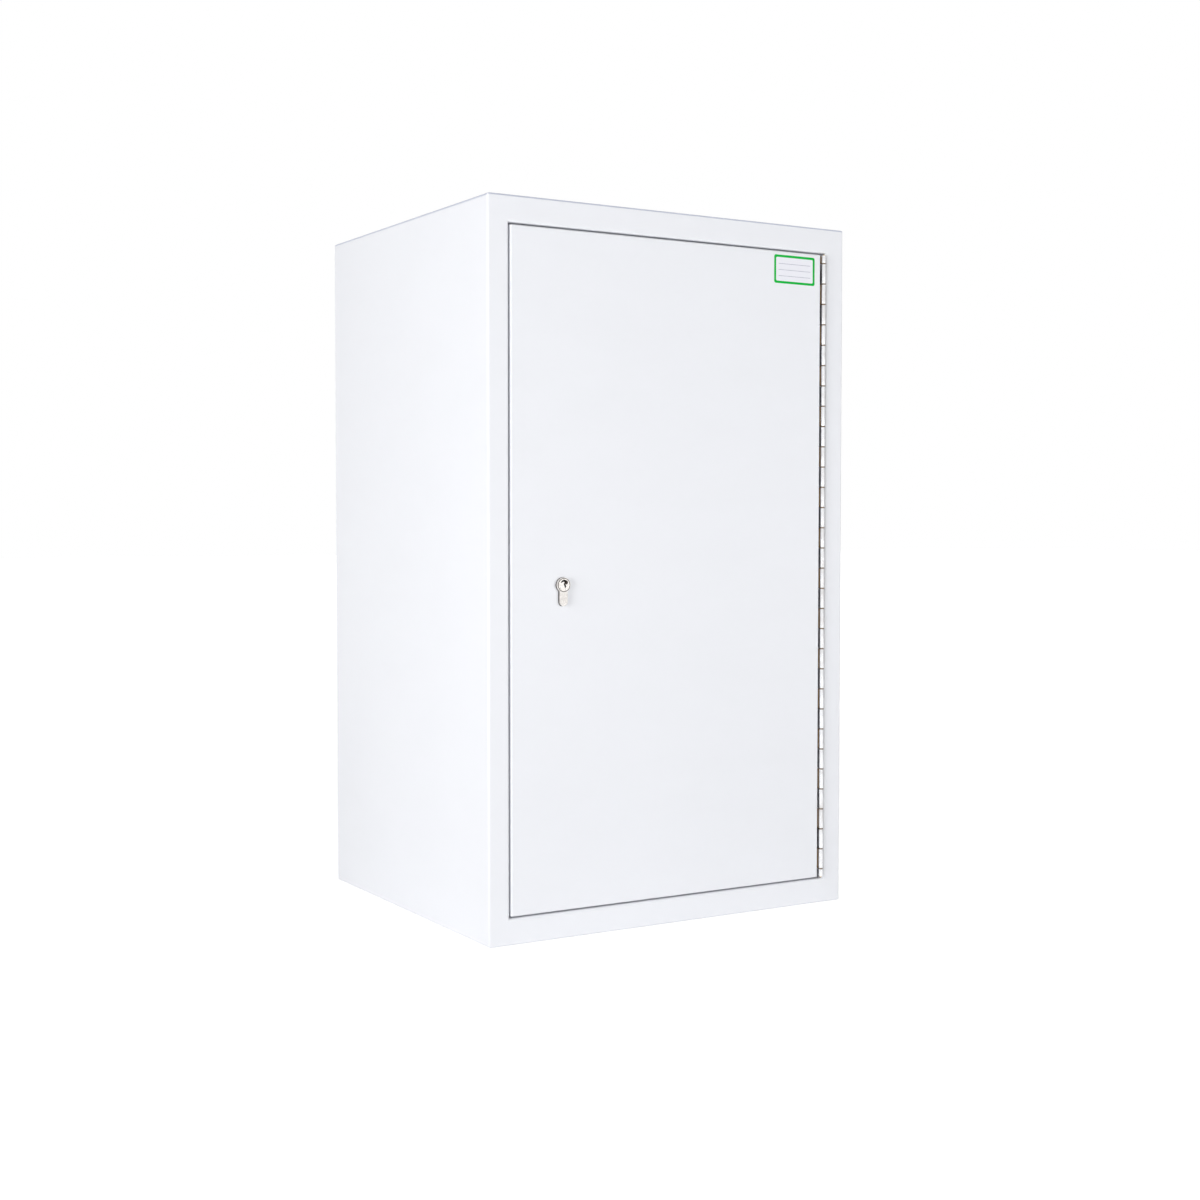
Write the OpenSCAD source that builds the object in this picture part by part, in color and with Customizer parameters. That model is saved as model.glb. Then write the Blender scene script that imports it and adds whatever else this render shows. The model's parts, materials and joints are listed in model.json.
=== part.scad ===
// Lockable medicine cabinet: a welded sheet steel body with an inset, double-skinned door on a
// full-length piano hinge, a profile cylinder lock that throws one bolt, and three adjustable shelves.
// X runs across the front, Y runs from the front to the back, and Z runs up from the base.
// The origin is the middle of the base. The door is shut and the bolt is drawn back.

/* [Body] */
// Width of the body
body_w = 500; // [420:5:600]
// Depth of the body, from the front frame to the back
body_d = 450; // [300:5:600]
// Height of the body
body_h = 850; // [700:5:1000]
// Thickness of the body sheet
body_sheet = 2; // [1.5:0.1:2.5]
// Inside radius of a bend in the body sheet
body_inner_bend = 1; // [0.5:0.1:1.5]
// Inside radius of the four long corners of the body
corner_inner_r = 2.5; // [1:0.1:2.5]
// Width of the frame beside the door
stile_w = 27; // [24:0.5:36]
// Height of the frame above and below the door
rail_h = 31; // [24:0.5:40]

/* [Door stop] */
// Thickness of the angle strips that the door shuts against
stop_sheet = 2; // [1.5:0.1:2.5]
// How far a stop strip reaches into the opening
stop_lip = 14; // [10:0.5:15]
// Space between the shut door and the stop strips
stop_space = 1; // [0.5:0.1:1.5]
// Space between the flange of the frame and the front edge of a stop strip
stop_edge_space = 1; // [0.5:0.1:2]
// Diameter of a rubber buffer
buffer_d = 9; // [6:0.5:9.5]
// How far the buffers lie from the corners of the door
buffer_inset = 80; // [40:5:120]
// Space between a buffer and the shut door
buffer_space = 0.1; // [0.05:0.05:0.3]

/* [Wall fixing] */
// Distance from the sides of the body to the fixing holes
fixing_inset_x = 100; // [80:5:120]
// Distance from the top and the base of the body to the fixing holes
fixing_inset_z = 125; // [80:5:200]
// Diameter of a fixing hole
fixing_hole_d = 11; // [8:0.5:14]
// Side of a square anchor plate
anchor_side = 140; // [100:5:140]
// Thickness of an anchor plate
anchor_t = 3; // [2:0.5:4]

/* [Door] */
// Gap between the door and the frame on three sides
door_gap = 2; // [1:0.1:3]
// Gap that the two hinge leaves fill
hinge_gap = 8.5; // [8:0.1:10]
// Depth of the door
door_d = 19; // [18.5:0.1:24]
// Thickness of the outer skin
skin_sheet = 1.5; // [1:0.1:2]
// Inside radius of a bend in the door sheets
skin_inner_bend = 0.5; // [0.3:0.1:1]
// Thickness of the inner panel
panel_sheet = 1.2; // [1:0.1:1.6]
// Depth of the folded edge of the inner panel
panel_lip = 4.5; // [3:0.5:5]
// Play between the inner panel and the outer skin
panel_play = 0.1; // [0.05:0.05:0.3]
// Thickness of a stiffener
stiffener_sheet = 1.2; // [1:0.1:1.6]
// Width of a stiffener over its web
stiffener_w = 40; // [30:1:60]
// Width of a foot of a stiffener
stiffener_foot = 12; // [8:1:16]
// Space between the lock case and the first stiffener
stiffener_case_space = 12.8; // [5:0.1:15]
// Distance between the two stiffeners
stiffener_span = 150; // [110:5:160]
// How far the stiffeners end from the top and bottom of the door
stiffener_inset = 40; // [20:5:80]

/* [Hinge-side hook bar] */
// Thickness of the bar
hook_t = 3; // [2:0.5:4]
// Width of the bar that lies on the door
hook_land = 18; // [14:1:30]
// How far the bar reaches behind the frame
hook_reach = 5; // [3:0.5:6]
// Space between the frame and the bar
hook_space = 1; // [0.5:0.1:1.5]
// How far the bar ends from the top and bottom of the door
hook_inset = 60; // [40:5:120]

/* [Hinge] */
// Height of one knuckle
knuckle_pitch = 25.4; // [20:0.1:30]
// Gap between two knuckles
knuckle_gap = 0.3; // [0.2:0.05:0.6]
// Diameter of the hinge pin
hinge_pin_d = 3; // [2.5:0.1:3.2]
// Radial play of the knuckles on the pin
pin_play = 0.05; // [0.03:0.01:0.08]
// Thickness of a hinge leaf
leaf_t = 1.2; // [1:0.1:1.3]
// Width of a hinge leaf behind its neck
leaf_w = 12.5; // [10:0.5:13]
// Distance from the pin back to the leaf, which the neck spans
leaf_start = 5; // [4.5:0.1:5.5]
// Angle by which a neck leaves its knuckle behind the side of the knuckle
neck_angle = 55; // [50:1:60]
// How far the pin lies in front of the frame
hinge_proud = 0.8; // [0.8:0.1:1.5]
// Space between each end of the hinge and that of the door
hinge_end_space = 1; // [0.5:0.1:2]
// How far the pin reaches out of the knuckles at each end
pin_past = 1; // [0.3:0.1:1]
// Diameter of a rivet
rivet_d = 4; // [3:0.2:4.8]
// Diameter of a rivet head
rivet_head_d = 7; // [6:0.5:8]
// Height of a rivet head
rivet_head_h = 1.1; // [0.8:0.1:1.3]
// Play of a rivet or screw in its hole
shank_play = 0.05; // [0.03:0.01:0.1]
// Distance between rivets
rivet_pitch = 100; // [60:5:150]
// Least distance from the ends of the hinge to a rivet
rivet_end = 30; // [15:1:60]

/* [Lock] */
// Distance from the closing edge of the door to the lock cylinder
lock_inset = 66.4; // [66:0.1:90]
// Height of the lock cylinder
lock_z = 410.5; // [300:0.5:500]
// Radius of the round head of the cylinder
cyl_head_r = 8.5; // [8.3:0.1:8.7]
// Width of the body of the cylinder
cyl_body_w = 10; // [9.8:0.1:10.2]
// Height of the cylinder
cyl_h = 33; // [32.5:0.1:33.5]
// Length of the cylinder from its face to the middle of the cam
cyl_key_side = 30; // [29:0.5:31]
// Length of the cylinder behind the middle of the cam
cyl_rear = 10; // [9:0.5:12]
// Space round the cylinder where it passes through sheets
cyl_space = 0.3; // [0.2:0.05:0.6]
// Diameter of the plug that the key turns
plug_d = 13; // [12.5:0.1:13.4]
// Radial play of the plug
plug_play = 0.05; // [0.03:0.01:0.08]
// How far the plug stands out of the cylinder
plug_proud = 0.4; // [0.2:0.1:0.8]
// Diameter of the flange at the front of the plug
plug_flange_d = 15.2; // [14.5:0.1:15.6]
// How far the flange of the plug is let into the face of the cylinder
plug_flange_t = 1; // [0.6:0.1:1.4]
// Diameter of the tail that carries the cam
plug_tail_d = 8; // [7:0.5:9]
// Width of the keyway
keyway_w = 1.8; // [1.6:0.1:2]
// Height of the keyway
keyway_h = 8; // [7.5:0.1:8.5]
// Sideways step half way up the keyway
keyway_step = 0.9; // [0.6:0.1:1]
// Width of the cam
cam_w = 9.6; // [9:0.1:9.8]
// Slot in the cylinder that the cam turns in
cam_slot_w = 10; // [10:0.1:10.4]
// Diameter of the hub of the cam
cam_hub_d = 16; // [15:0.5:17]
// Reach of the cam from its axis
cam_reach = 15; // [14:0.1:15.2]
// Width of the lever of the cam
cam_lever_w = 8; // [6:0.5:9]
// Space round the sweep of the cam
cam_space = 0.5; // [0.3:0.1:0.8]
// Pins in the cylinder
pin_count = 5; // [3:1:5]
// Distance between pins
pin_pitch = 3.8; // [3.5:0.1:3.9]
// Distance from the face of the cylinder to the first pin
pin_first = 7; // [6:0.1:7]
// Diameter of a pin
pin_d = 2.7; // [2.4:0.1:2.8]
// Radial play of a pin
pin_bore_play = 0.1; // [0.05:0.01:0.15]
// Length of a driver pin
driver_l = 6; // [5:0.1:7]
// Floor left under the pin springs
pin_floor = 1.5; // [1:0.1:2]
// Wall of a pin spring
spring_wall = 0.4; // [0.3:0.05:0.5]
// Diameter of the screw that holds the cylinder
cyl_screw_d = 4.8; // [4.5:0.1:5]
// Distance from the plug axis down to that screw
cyl_screw_drop = 20; // [19.5:0.1:20.5]
// Length of the screw past the cylinder axis
cyl_screw_past = 7; // [4:0.5:10]
// Diameter of the head of that screw
cyl_screw_head_d = 9; // [8:0.1:9.5]

/* [Lock case] */
// Distance from the front edge of the case to the cylinder axis
backset = 50; // [48:0.5:50]
// Width of the case
case_w = 86; // [85:1:100]
// Depth of the case with its cover
case_d = 14; // [14:0.5:16]
// Sheet of the case and its cover
case_sheet = 1.5; // [1:0.1:1.5]
// Thickness of the front edge, which guides the bolt
forend_t = 3; // [2.5:0.5:4]
// How far the case reaches above the cylinder axis
case_above = 44; // [42:1:60]
// How far the case reaches below the cylinder axis
case_below = 34; // [32:1:50]
// Distance from the edges of the case to its screws
case_screw_inset = 8; // [7:0.5:9]
// Diameter of a case screw
case_screw_d = 4; // [3.5:0.1:4.5]
// Diameter of the head of a case screw
case_screw_head_d = 7.5; // [7:0.1:8]
// Height of the head of a case screw
case_screw_head_h = 2.4; // [2:0.1:3]
// Width of a case nut across its corners
case_nut_d = 8; // [7.5:0.1:9]
// Thickness of a case nut
case_nut_h = 3; // [2.5:0.1:4]

/* [Bolt] */
// Height of the bolt
bolt_h = 14; // [12:0.5:16]
// Thickness of the bolt
bolt_t = 7; // [6:0.1:7]
// How far the bolt stands out of the case when it is drawn back
bolt_proud = 0.5; // [0:0.1:1]
// Travel of the bolt
bolt_throw = 20; // [15:0.5:20]
// Play of the bolt in the window of the case
bolt_play = 0.1; // [0.05:0.01:0.2]
// Space between the sweep of the cam and the bolt
bolt_cam_space = 1; // [0.6:0.1:2]
// Length of the bolt
bolt_l = 80; // [78:0.5:80]
// Diameter of the guide post in the slot of the bolt
guide_d = 5; // [4:0.1:5.5]
// Distance from the cylinder axis to the guide post, away from the closing edge
guide_x = 5; // [3:0.5:6]
// Thickness of the strap that the bolt shoots into
keep_t = 2.5; // [2:0.1:3]
// Space round the bolt in the keep
keep_space = 1; // [0.5:0.1:2]

/* [Shelves] */
// Thickness of the shelf sheet
shelf_sheet = 1.2; // [1:0.1:1.5]
// Inside radius of a bend in the shelf sheet
shelf_inner_bend = 0.8; // [0.5:0.1:1.2]
// Depth of the folded edge of a shelf
shelf_lip = 20; // [15:1:30]
// Distance from the front of the body to a shelf
shelf_front_inset = 60; // [50:1:80]
// Space between a shelf and the anchor plates
shelf_back_space = 2; // [1:0.5:10]
// Space between a shelf and the slotted strips
shelf_side_space = 1.5; // [1:0.1:2.5]
// Slot that carries the lowest shelf
lower_shelf_slot = 6; // [3:1:9]
// Slot that carries the middle shelf
middle_shelf_slot = 14; // [11:1:16]
// Slot that carries the highest shelf
upper_shelf_slot = 22; // [18:1:22]

/* [Slotted strips] */
// Width of a strip
strip_w = 16; // [14:1:20]
// Depth of a strip
strip_depth = 6; // [5.5:0.1:8]
// Sheet of a strip
strip_sheet = 1.2; // [1:0.1:1.5]
// How far the strips end from the top and base panels
strip_end = 28; // [20:1:40]
// Distance from the front of the body to the front strips
strip_front_inset = 85; // [85:5:120]
// Distance from the back of the body to the back strips
strip_back_inset = 50; // [30:5:80]
// Distance between slots
slot_pitch = 25; // [20:1:25]
// Height of a slot
slot_h = 9; // [8:0.5:12]
// Width of a slot
slot_w = 3.4; // [3:0.1:4]

/* [Shelf clips] */
// Sheet of a clip
clip_sheet = 1.5; // [1.2:0.1:2]
// Width of a clip
clip_w = 12; // [10:0.5:14]
// Height of a clip
clip_h = 20; // [16:1:22]
// How far a clip reaches under its shelf
clip_reach = 14; // [10:1:18]
// Distance from the middle of a slot up to the seat of the clip
clip_rise = 7; // [5.5:0.5:8]
// Width of the tongue in the slot
tongue_w = 2.6; // [2:0.1:2.8]
// Height of the tongue in the slot
tongue_h = 6; // [5:0.5:7]
// How far the hook of the tongue hangs below the slot
tongue_drop = 3; // [2:0.5:5]
// Space between the tongue and the strip
tongue_space = 0.2; // [0.1:0.05:0.4]

/* [Label] */
// Width of the label
label_w = 62.6; // [40:0.1:80]
// Height of the label
label_h = 35.5; // [25:0.1:50]
// Corner radius of the label
label_r = 3; // [1:0.1:5]
// Thickness of the label
label_t = 0.2; // [0.1:0.05:0.4]
// Distance from the hinge edge of the door to the label
label_side_inset = 9.3; // [5:0.1:30]
// Distance from the top of the door to the label
label_top_inset = 4.5; // [3:0.1:30]

/* [Hidden] */
$fn = 64;

// Colours
powder_white = [0.94, 0.95, 0.97];
nickel = [0.78, 0.76, 0.73];
bright_steel = [0.72, 0.73, 0.75];
zinc = [0.66, 0.68, 0.7];
brass = [0.78, 0.62, 0.32];
rubber_grey = [0.25, 0.25, 0.27];
label_white = [0.93, 0.93, 0.98];

// How far a cut runs past the face that it opens
over = 1;

// Body and opening
body_bend = body_inner_bend + body_sheet;
body_corner_r = corner_inner_r + body_sheet;
front_y = -body_d / 2;
back_y = body_d / 2;
left_x = -body_w / 2;
right_x = body_w / 2;
opening_x0 = left_x + stile_w;
opening_x1 = right_x - stile_w;
opening_z0 = rail_h;
opening_z1 = body_h - rail_h;
mitre_slope = rail_h / stile_w;

// Door
door_x0 = opening_x0 + door_gap;
door_x1 = opening_x1 - hinge_gap;
door_z0 = opening_z0 + door_gap;
door_z1 = opening_z1 - door_gap;
door_back_y = front_y + door_d;
skin_bend = skin_inner_bend + skin_sheet;
panel_bend = skin_inner_bend + panel_sheet;
panel_x0 = door_x0 + skin_sheet + panel_play;
panel_x1 = door_x1 - skin_sheet - panel_play;
panel_z0 = door_z0 + skin_sheet + panel_play;
panel_z1 = door_z1 - skin_sheet - panel_play;
return_depth = door_d - hook_space;

// Door stop
stop_y = door_back_y + stop_space;
stop_back_y = stop_y + stop_sheet;
stop_front_y = front_y + body_bend + stop_edge_space;

// Wall fixing
fixing_x = body_w / 2 - fixing_inset_x;
fixing_rise = body_h / 2 - fixing_inset_z;

// Hinge
hinge_x = opening_x1 - hinge_gap / 2;
hinge_y = front_y - hinge_proud;
leaf_offset = hinge_gap / 2;
barrel_bore = hinge_pin_d / 2 + pin_play;
barrel_r = barrel_bore + leaf_t;
hinge_z0 = door_z0 + hinge_end_space;
hinge_l = door_z1 - door_z0 - 2 * hinge_end_space;
knuckle_joints = floor(hinge_l / knuckle_pitch + 0.5);
end_knuckle_h = (hinge_l - (knuckle_joints - 1) * knuckle_pitch) / 2;
rivet_y = hinge_y + leaf_start + leaf_w / 2;
rivet_count = floor((hinge_l - 2 * rivet_end) / rivet_pitch) + 1;
rivet_hole_r = rivet_d / 2 + shank_play;

// Lock
lock_x = door_x0 + lock_inset;
lock_y = door_back_y + case_d / 2;
cyl_front_y = lock_y - cyl_key_side;
cyl_back_y = lock_y + cyl_rear;
cyl_drop = cyl_h - cyl_head_r - cyl_body_w / 2;
plug_back_y = lock_y - cam_slot_w / 2 - plug_play;
flange_back_y = cyl_front_y + plug_flange_t;
case_x0 = lock_x - backset;
case_x1 = case_x0 + case_w;
case_z0 = lock_z - case_below;
case_z1 = lock_z + case_above;
case_back_y = door_back_y + case_d;
stiffener_half_w = stiffener_w / 2 + stiffener_foot - stiffener_sheet;
stiffener_x = case_x1 + stiffener_case_space + stiffener_half_w;
pin_bore_r = pin_d / 2 + pin_bore_play;
pin_bore_bottom = -cyl_drop - cyl_body_w / 2 + pin_floor;
driver_top = -plug_d / 2 - 2 * plug_play;
key_pin_bottom = -sqrt(pow(plug_d / 2, 2) - pow(pin_d / 2, 2));
keyway_top = keyway_h - plug_d / 2 - plug_play;

// Bolt
bolt_x0 = case_x0 - bolt_proud;
bolt_z0 = lock_z + cam_reach + bolt_cam_space;
bolt_mid_z = bolt_z0 + bolt_h / 2;
post_x = lock_x + guide_x;
bolt_slot_r = guide_d / 2 + bolt_play;

// Slotted strips and shelves
strip_z0 = body_sheet + strip_end;
strip_l = body_h - 2 * strip_z0;
slot_count = floor((strip_l - slot_pitch) / slot_pitch);
strip_face_x = right_x - body_sheet - strip_depth;
strip_front_y = front_y + strip_front_inset;
strip_back_y = back_y - strip_back_inset;
shelf_bend = shelf_inner_bend + shelf_sheet;
shelf_half_w = strip_face_x - shelf_side_space;
shelf_y0 = front_y + shelf_front_inset;
shelf_y1 = back_y - body_sheet - anchor_t - shelf_back_space;

function slot_z(i) = strip_z0 + (i + 1) * slot_pitch;
function seat_z(i) = slot_z(i) + clip_rise;
function rivet_z(i) = (opening_z0 + opening_z1) / 2 + (i - (rivet_count - 1) / 2) * rivet_pitch;
function pin_y(i) = cyl_front_y + pin_first + i * pin_pitch;

// A drawing in X and Z, made solid from y0 to y1
module along_y(y0, y1) {
    translate([0, y1, 0]) rotate([90, 0, 0]) linear_extrude(y1 - y0) children();
}

// A round rod along X from x0 to x1
module rod_x(x0, x1, r) {
    translate([x0, 0, 0]) rotate([0, 90, 0]) cylinder(h = x1 - x0, r = r);
}

// A round rod along Y from y0 to y1
module rod_y(y0, y1, r) {
    translate([0, y1, 0]) rotate([90, 0, 0]) cylinder(h = y1 - y0, r = r);
}

// A rectangle with round corners, from its lower left corner
module rounded_2d(w, h, r) {
    translate([r, 0]) square([w - 2 * r, h]);
    translate([0, r]) square([w, h - 2 * r]);
    for (x = [r, w - r], y = [r, h - r]) translate([x, y]) circle(r);
}

// A quarter of a sheet bend about its own centre, turned to face where it is needed
module bend_2d(outer_r, sheet, turn) {
    rotate(turn) intersection() {
        difference() {
            circle(outer_r);
            circle(outer_r - sheet);
        }
        square(outer_r);
    }
}

// Section of a body wall with its front flange and the return that lines the opening
module wall_2d(flange) {
    translate([0, body_bend]) square([body_sheet, body_d - body_bend]);
    translate([body_bend, body_bend]) bend_2d(body_bend, body_sheet, 180);
    translate([body_bend, 0]) square([flange - 2 * body_bend, body_sheet]);
    translate([flange - body_bend, body_bend]) bend_2d(body_bend, body_sheet, 270);
    translate([flange - body_sheet, body_bend]) square([body_sheet, return_depth - body_bend]);
}

// The body's own outline from the front, through its whole depth
module body_outline() {
    along_y(front_y - over, back_y + over)
        translate([left_x, 0]) rounded_2d(body_w, body_h, body_corner_r);
}

// Left wall, cut to the mitres that it shares with the top and the base
module side_wall() {
    inner_x = opening_x0 + over;
    outer_x = left_x - over;
    rise = over * mitre_slope;
    intersection() {
        translate([left_x, front_y, 0]) linear_extrude(body_h) wall_2d(stile_w);
        along_y(front_y - over, back_y + over) polygon([
            [outer_x, -rise], [inner_x, opening_z0 + rise],
            [inner_x, opening_z1 - rise], [outer_x, body_h + rise]
        ]);
        body_outline();
    }
}

// Base wall, cut to the mitres that it shares with the sides
module flat_wall() {
    inner_x = opening_x1 - over;
    outer_x = right_x + over;
    rise = over * mitre_slope;
    intersection() {
        translate([right_x, front_y, 0]) rotate([0, -90, 0]) linear_extrude(body_w) wall_2d(rail_h);
        along_y(front_y - over, back_y + over) polygon([
            [-outer_x, -rise], [-inner_x, opening_z0 + rise],
            [inner_x, opening_z0 + rise], [outer_x, -rise]
        ]);
        body_outline();
    }
}

module left_side_panel() {
    color(powder_white) side_wall();
}

module right_side_panel() {
    color(powder_white) difference() {
        mirror([1, 0, 0]) side_wall();
        for (i = [0 : rivet_count - 1])
            translate([0, rivet_y, rivet_z(i)])
                rod_x(opening_x1 - over, opening_x1 + body_sheet + over, rivet_hole_r);
    }
}

module top_panel() {
    color(powder_white) translate([0, 0, body_h]) mirror([0, 0, 1]) flat_wall();
}

module base_panel() {
    color(powder_white) flat_wall();
}

module back_panel() {
    color(powder_white) difference() {
        translate([left_x + body_sheet, back_y - body_sheet, body_sheet])
            cube([body_w - 2 * body_sheet, body_sheet, body_h - 2 * body_sheet]);
        for (x = [-1, 1], z = [-1, 1])
            translate([x * fixing_x, 0, body_h / 2 + z * fixing_rise])
                rod_y(back_y - body_sheet - over, back_y + over, fixing_hole_d / 2);
    }
}

// Square plate inside the back at one fixing hole, on side x and at height z of the pattern
module anchor_plate(x, z) {
    color(powder_white) translate([x * fixing_x, 0, body_h / 2 + z * fixing_rise])
        difference() {
            translate([-anchor_side / 2, back_y - body_sheet - anchor_t, -anchor_side / 2])
                cube([anchor_side, anchor_t, anchor_side]);
            rod_y(back_y - body_sheet - anchor_t - over, back_y, fixing_hole_d / 2);
        }
}

// Section of a stop strip: u runs into the opening from its edge, v runs back
module stop_2d() {
    translate([-body_sheet - stop_sheet, 0])
        square([stop_sheet, stop_back_y - stop_front_y]);
    translate([-body_sheet - stop_sheet, stop_y - stop_front_y])
        square([body_sheet + stop_sheet + stop_lip, stop_sheet]);
}

module closing_stop_strip() {
    color(powder_white) translate([opening_x0, stop_front_y, opening_z0])
        linear_extrude(opening_z1 - opening_z0) stop_2d();
}

// Stop strip along the base, from the closing strip to the hinge side
module flat_stop() {
    x0 = opening_x0 + stop_lip;
    translate([opening_x1, stop_front_y, opening_z0])
        rotate([0, -90, 0]) linear_extrude(opening_x1 - x0) stop_2d();
}

module base_stop_strip() {
    color(powder_white) flat_stop();
}

module top_stop_strip() {
    color(powder_white) translate([0, 0, body_h]) mirror([0, 0, 1]) flat_stop();
}

module rubber_buffers() {
    side_x = opening_x0 + stop_lip / 2;
    flat_x = door_x1 - buffer_inset;
    places = [
        [side_x, door_z0 + buffer_inset], [side_x, door_z1 - buffer_inset],
        [flat_x, opening_z0 + stop_lip / 2], [flat_x, opening_z1 - stop_lip / 2]
    ];
    color(rubber_grey) for (p = places)
        translate([p[0], 0, p[1]]) rod_y(door_back_y + buffer_space, stop_y, buffer_d / 2);
}

// Slotted channel on a side wall: side is -1 on the left, y is its middle
module shelf_strip(side, y) {
    color(zinc) translate([0, y, 0]) {
        face = side > 0 ? strip_face_x : -strip_face_x - strip_sheet;
        low = side > 0 ? strip_face_x : -strip_face_x - strip_depth;
        difference() {
            translate([low, -strip_w / 2, strip_z0]) cube([strip_depth, strip_w, strip_l]);
            translate([low + (side > 0 ? strip_sheet : -over), strip_sheet - strip_w / 2, strip_z0 - over])
                cube([strip_depth - strip_sheet + over, strip_w - 2 * strip_sheet, strip_l + 2 * over]);
            for (i = [0 : slot_count - 1])
                translate([face - over, -slot_w / 2, slot_z(i) - slot_h / 2])
                    cube([strip_sheet + 2 * over, slot_w, slot_h]);
        }
    }
}

// Clip on the left: its plate lies on the strip, its tongue hooks in the slot, its seat carries the shelf
module shelf_clip() {
    hook_t = strip_depth - strip_sheet - 2 * tongue_space;
    tongue_z = -clip_rise - tongue_h / 2;
    translate([0, -clip_w / 2, -clip_h]) cube([clip_sheet, clip_w, clip_h]);
    translate([0, -clip_w / 2, -clip_sheet]) cube([clip_reach, clip_w, clip_sheet]);
    translate([-strip_sheet - tongue_space - hook_t, -tongue_w / 2, tongue_z])
        cube([strip_sheet + tongue_space + hook_t + over / 2, tongue_w, tongue_h]);
    translate([-strip_sheet - tongue_space - hook_t, -tongue_w / 2, tongue_z - tongue_drop])
        cube([hook_t, tongue_w, tongue_h + tongue_drop]);
}

module clips_for(slot) {
    color(zinc) for (y = [strip_front_y, strip_back_y]) {
        translate([-strip_face_x, y, seat_z(slot)]) shelf_clip();
        translate([strip_face_x, y, seat_z(slot)]) mirror([1, 0, 0]) shelf_clip();
    }
}

// Section of a shelf from front to back, with its folded front and back edges hanging down
module shelf_2d() {
    depth = shelf_y1 - shelf_y0;
    translate([shelf_bend, shelf_lip - shelf_sheet]) square([depth - 2 * shelf_bend, shelf_sheet]);
    translate([shelf_bend, shelf_lip - shelf_bend]) bend_2d(shelf_bend, shelf_sheet, 90);
    translate([depth - shelf_bend, shelf_lip - shelf_bend]) bend_2d(shelf_bend, shelf_sheet, 0);
    for (x = [0, depth - shelf_sheet])
        translate([x, 0]) square([shelf_sheet, shelf_lip - shelf_bend]);
}

// Shelf that rests on the clips at one slot
module shelf_at(slot) {
    side_l = shelf_y1 - shelf_y0 - 2 * shelf_bend;
    color(powder_white) translate([0, shelf_y0, seat_z(slot)]) {
        translate([-shelf_half_w, 0, 0]) rotate([90, 0, 90])
            linear_extrude(2 * shelf_half_w) shelf_2d();
        for (x = [-shelf_half_w, shelf_half_w - shelf_sheet])
            translate([x, shelf_bend, 0]) cube([shelf_sheet, side_l, shelf_lip - shelf_sheet]);
    }
}

// Strap behind the closing stop that the bolt shoots into
module bolt_keep() {
    inner_h = bolt_h + 2 * keep_space;
    inner_back_y = lock_y + bolt_t / 2 + keep_space;
    color(powder_white) difference() {
        translate([opening_x0 - body_sheet - stop_sheet, stop_back_y, bolt_mid_z - inner_h / 2 - keep_t])
            cube([
                body_sheet + stop_sheet + stop_lip,
                inner_back_y + keep_t - stop_back_y,
                inner_h + 2 * keep_t
            ]);
        translate([left_x, stop_back_y - over, bolt_mid_z - inner_h / 2])
            cube([body_w / 2, inner_back_y - stop_back_y + over, inner_h]);
    }
}

// Section of one knuckle and its neck, for the leaf on the +X side of the pin
module knuckle_2d() {
    difference() {
        union() {
            circle(barrel_r);
            polygon([
                [0, 0], [barrel_r * cos(neck_angle), barrel_r * sin(neck_angle)],
                [leaf_offset, leaf_start], [leaf_offset - leaf_t, leaf_start], [0, barrel_r]
            ]);
        }
        circle(barrel_bore);
    }
}

// One hinge leaf on the +X side of the pin, with every second knuckle from the first one given
module hinge_leaf(first) {
    difference() {
        union() {
            translate([leaf_offset - leaf_t, leaf_start, 0]) cube([leaf_t, leaf_w, hinge_l]);
            for (k = [first : 2 : knuckle_joints]) {
                low = max(0, end_knuckle_h + (k - 1) * knuckle_pitch + knuckle_gap / 2);
                high = min(hinge_l, end_knuckle_h + k * knuckle_pitch - knuckle_gap / 2);
                translate([0, 0, low]) linear_extrude(high - low) knuckle_2d();
            }
        }
        for (i = [0 : rivet_count - 1])
            translate([0, rivet_y - hinge_y, rivet_z(i) - hinge_z0])
                rod_x(leaf_offset - leaf_t - over, leaf_offset + over, rivet_hole_r);
    }
}

module hinge_frame_leaf() {
    color(bright_steel) translate([hinge_x, hinge_y, hinge_z0]) hinge_leaf(0);
}

module hinge_door_leaf() {
    color(bright_steel) translate([hinge_x, hinge_y, hinge_z0]) mirror([1, 0, 0]) hinge_leaf(1);
}

module hinge_pin() {
    color(brass) translate([hinge_x, hinge_y, hinge_z0 - pin_past])
        cylinder(h = hinge_l + 2 * pin_past, d = hinge_pin_d);
}

// Rivets through one leaf and a sheet of the given thickness, on the +X side of the pin
module rivets(sheet) {
    color(zinc) for (i = [0 : rivet_count - 1])
        translate([0, rivet_y, rivet_z(i)]) {
            rod_x(leaf_offset - leaf_t - rivet_head_h, leaf_offset - leaf_t, rivet_head_d / 2);
            rod_x(leaf_offset - leaf_t - rivet_head_h, leaf_offset + sheet + rivet_head_h, rivet_d / 2);
            rod_x(leaf_offset + sheet, leaf_offset + sheet + rivet_head_h, rivet_head_d / 2);
        }
}

module hinge_frame_rivets() {
    translate([hinge_x, 0, 0]) rivets(body_sheet);
}

module hinge_door_rivets() {
    translate([hinge_x, 0, 0]) mirror([1, 0, 0]) rivets(skin_sheet);
}

// Solid block of a folded pan: its face is at y = 0 and its edges run back, with round bends
module pan_block(w, depth, h, r) {
    intersection() {
        linear_extrude(h) union() {
            translate([0, r]) square([w, depth - r]);
            translate([r, 0]) square([w - 2 * r, r + over]);
            for (x = [r, w - r]) translate([x, r]) circle(r);
        }
        rotate([90, 0, 90]) linear_extrude(w) union() {
            translate([r, 0]) square([depth - r, h]);
            translate([0, r]) square([r + over, h - 2 * r]);
            for (z = [r, h - r]) translate([r, z]) circle(r);
        }
        along_y(-over, depth + over) rounded_2d(w, h, r);
    }
}

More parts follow.
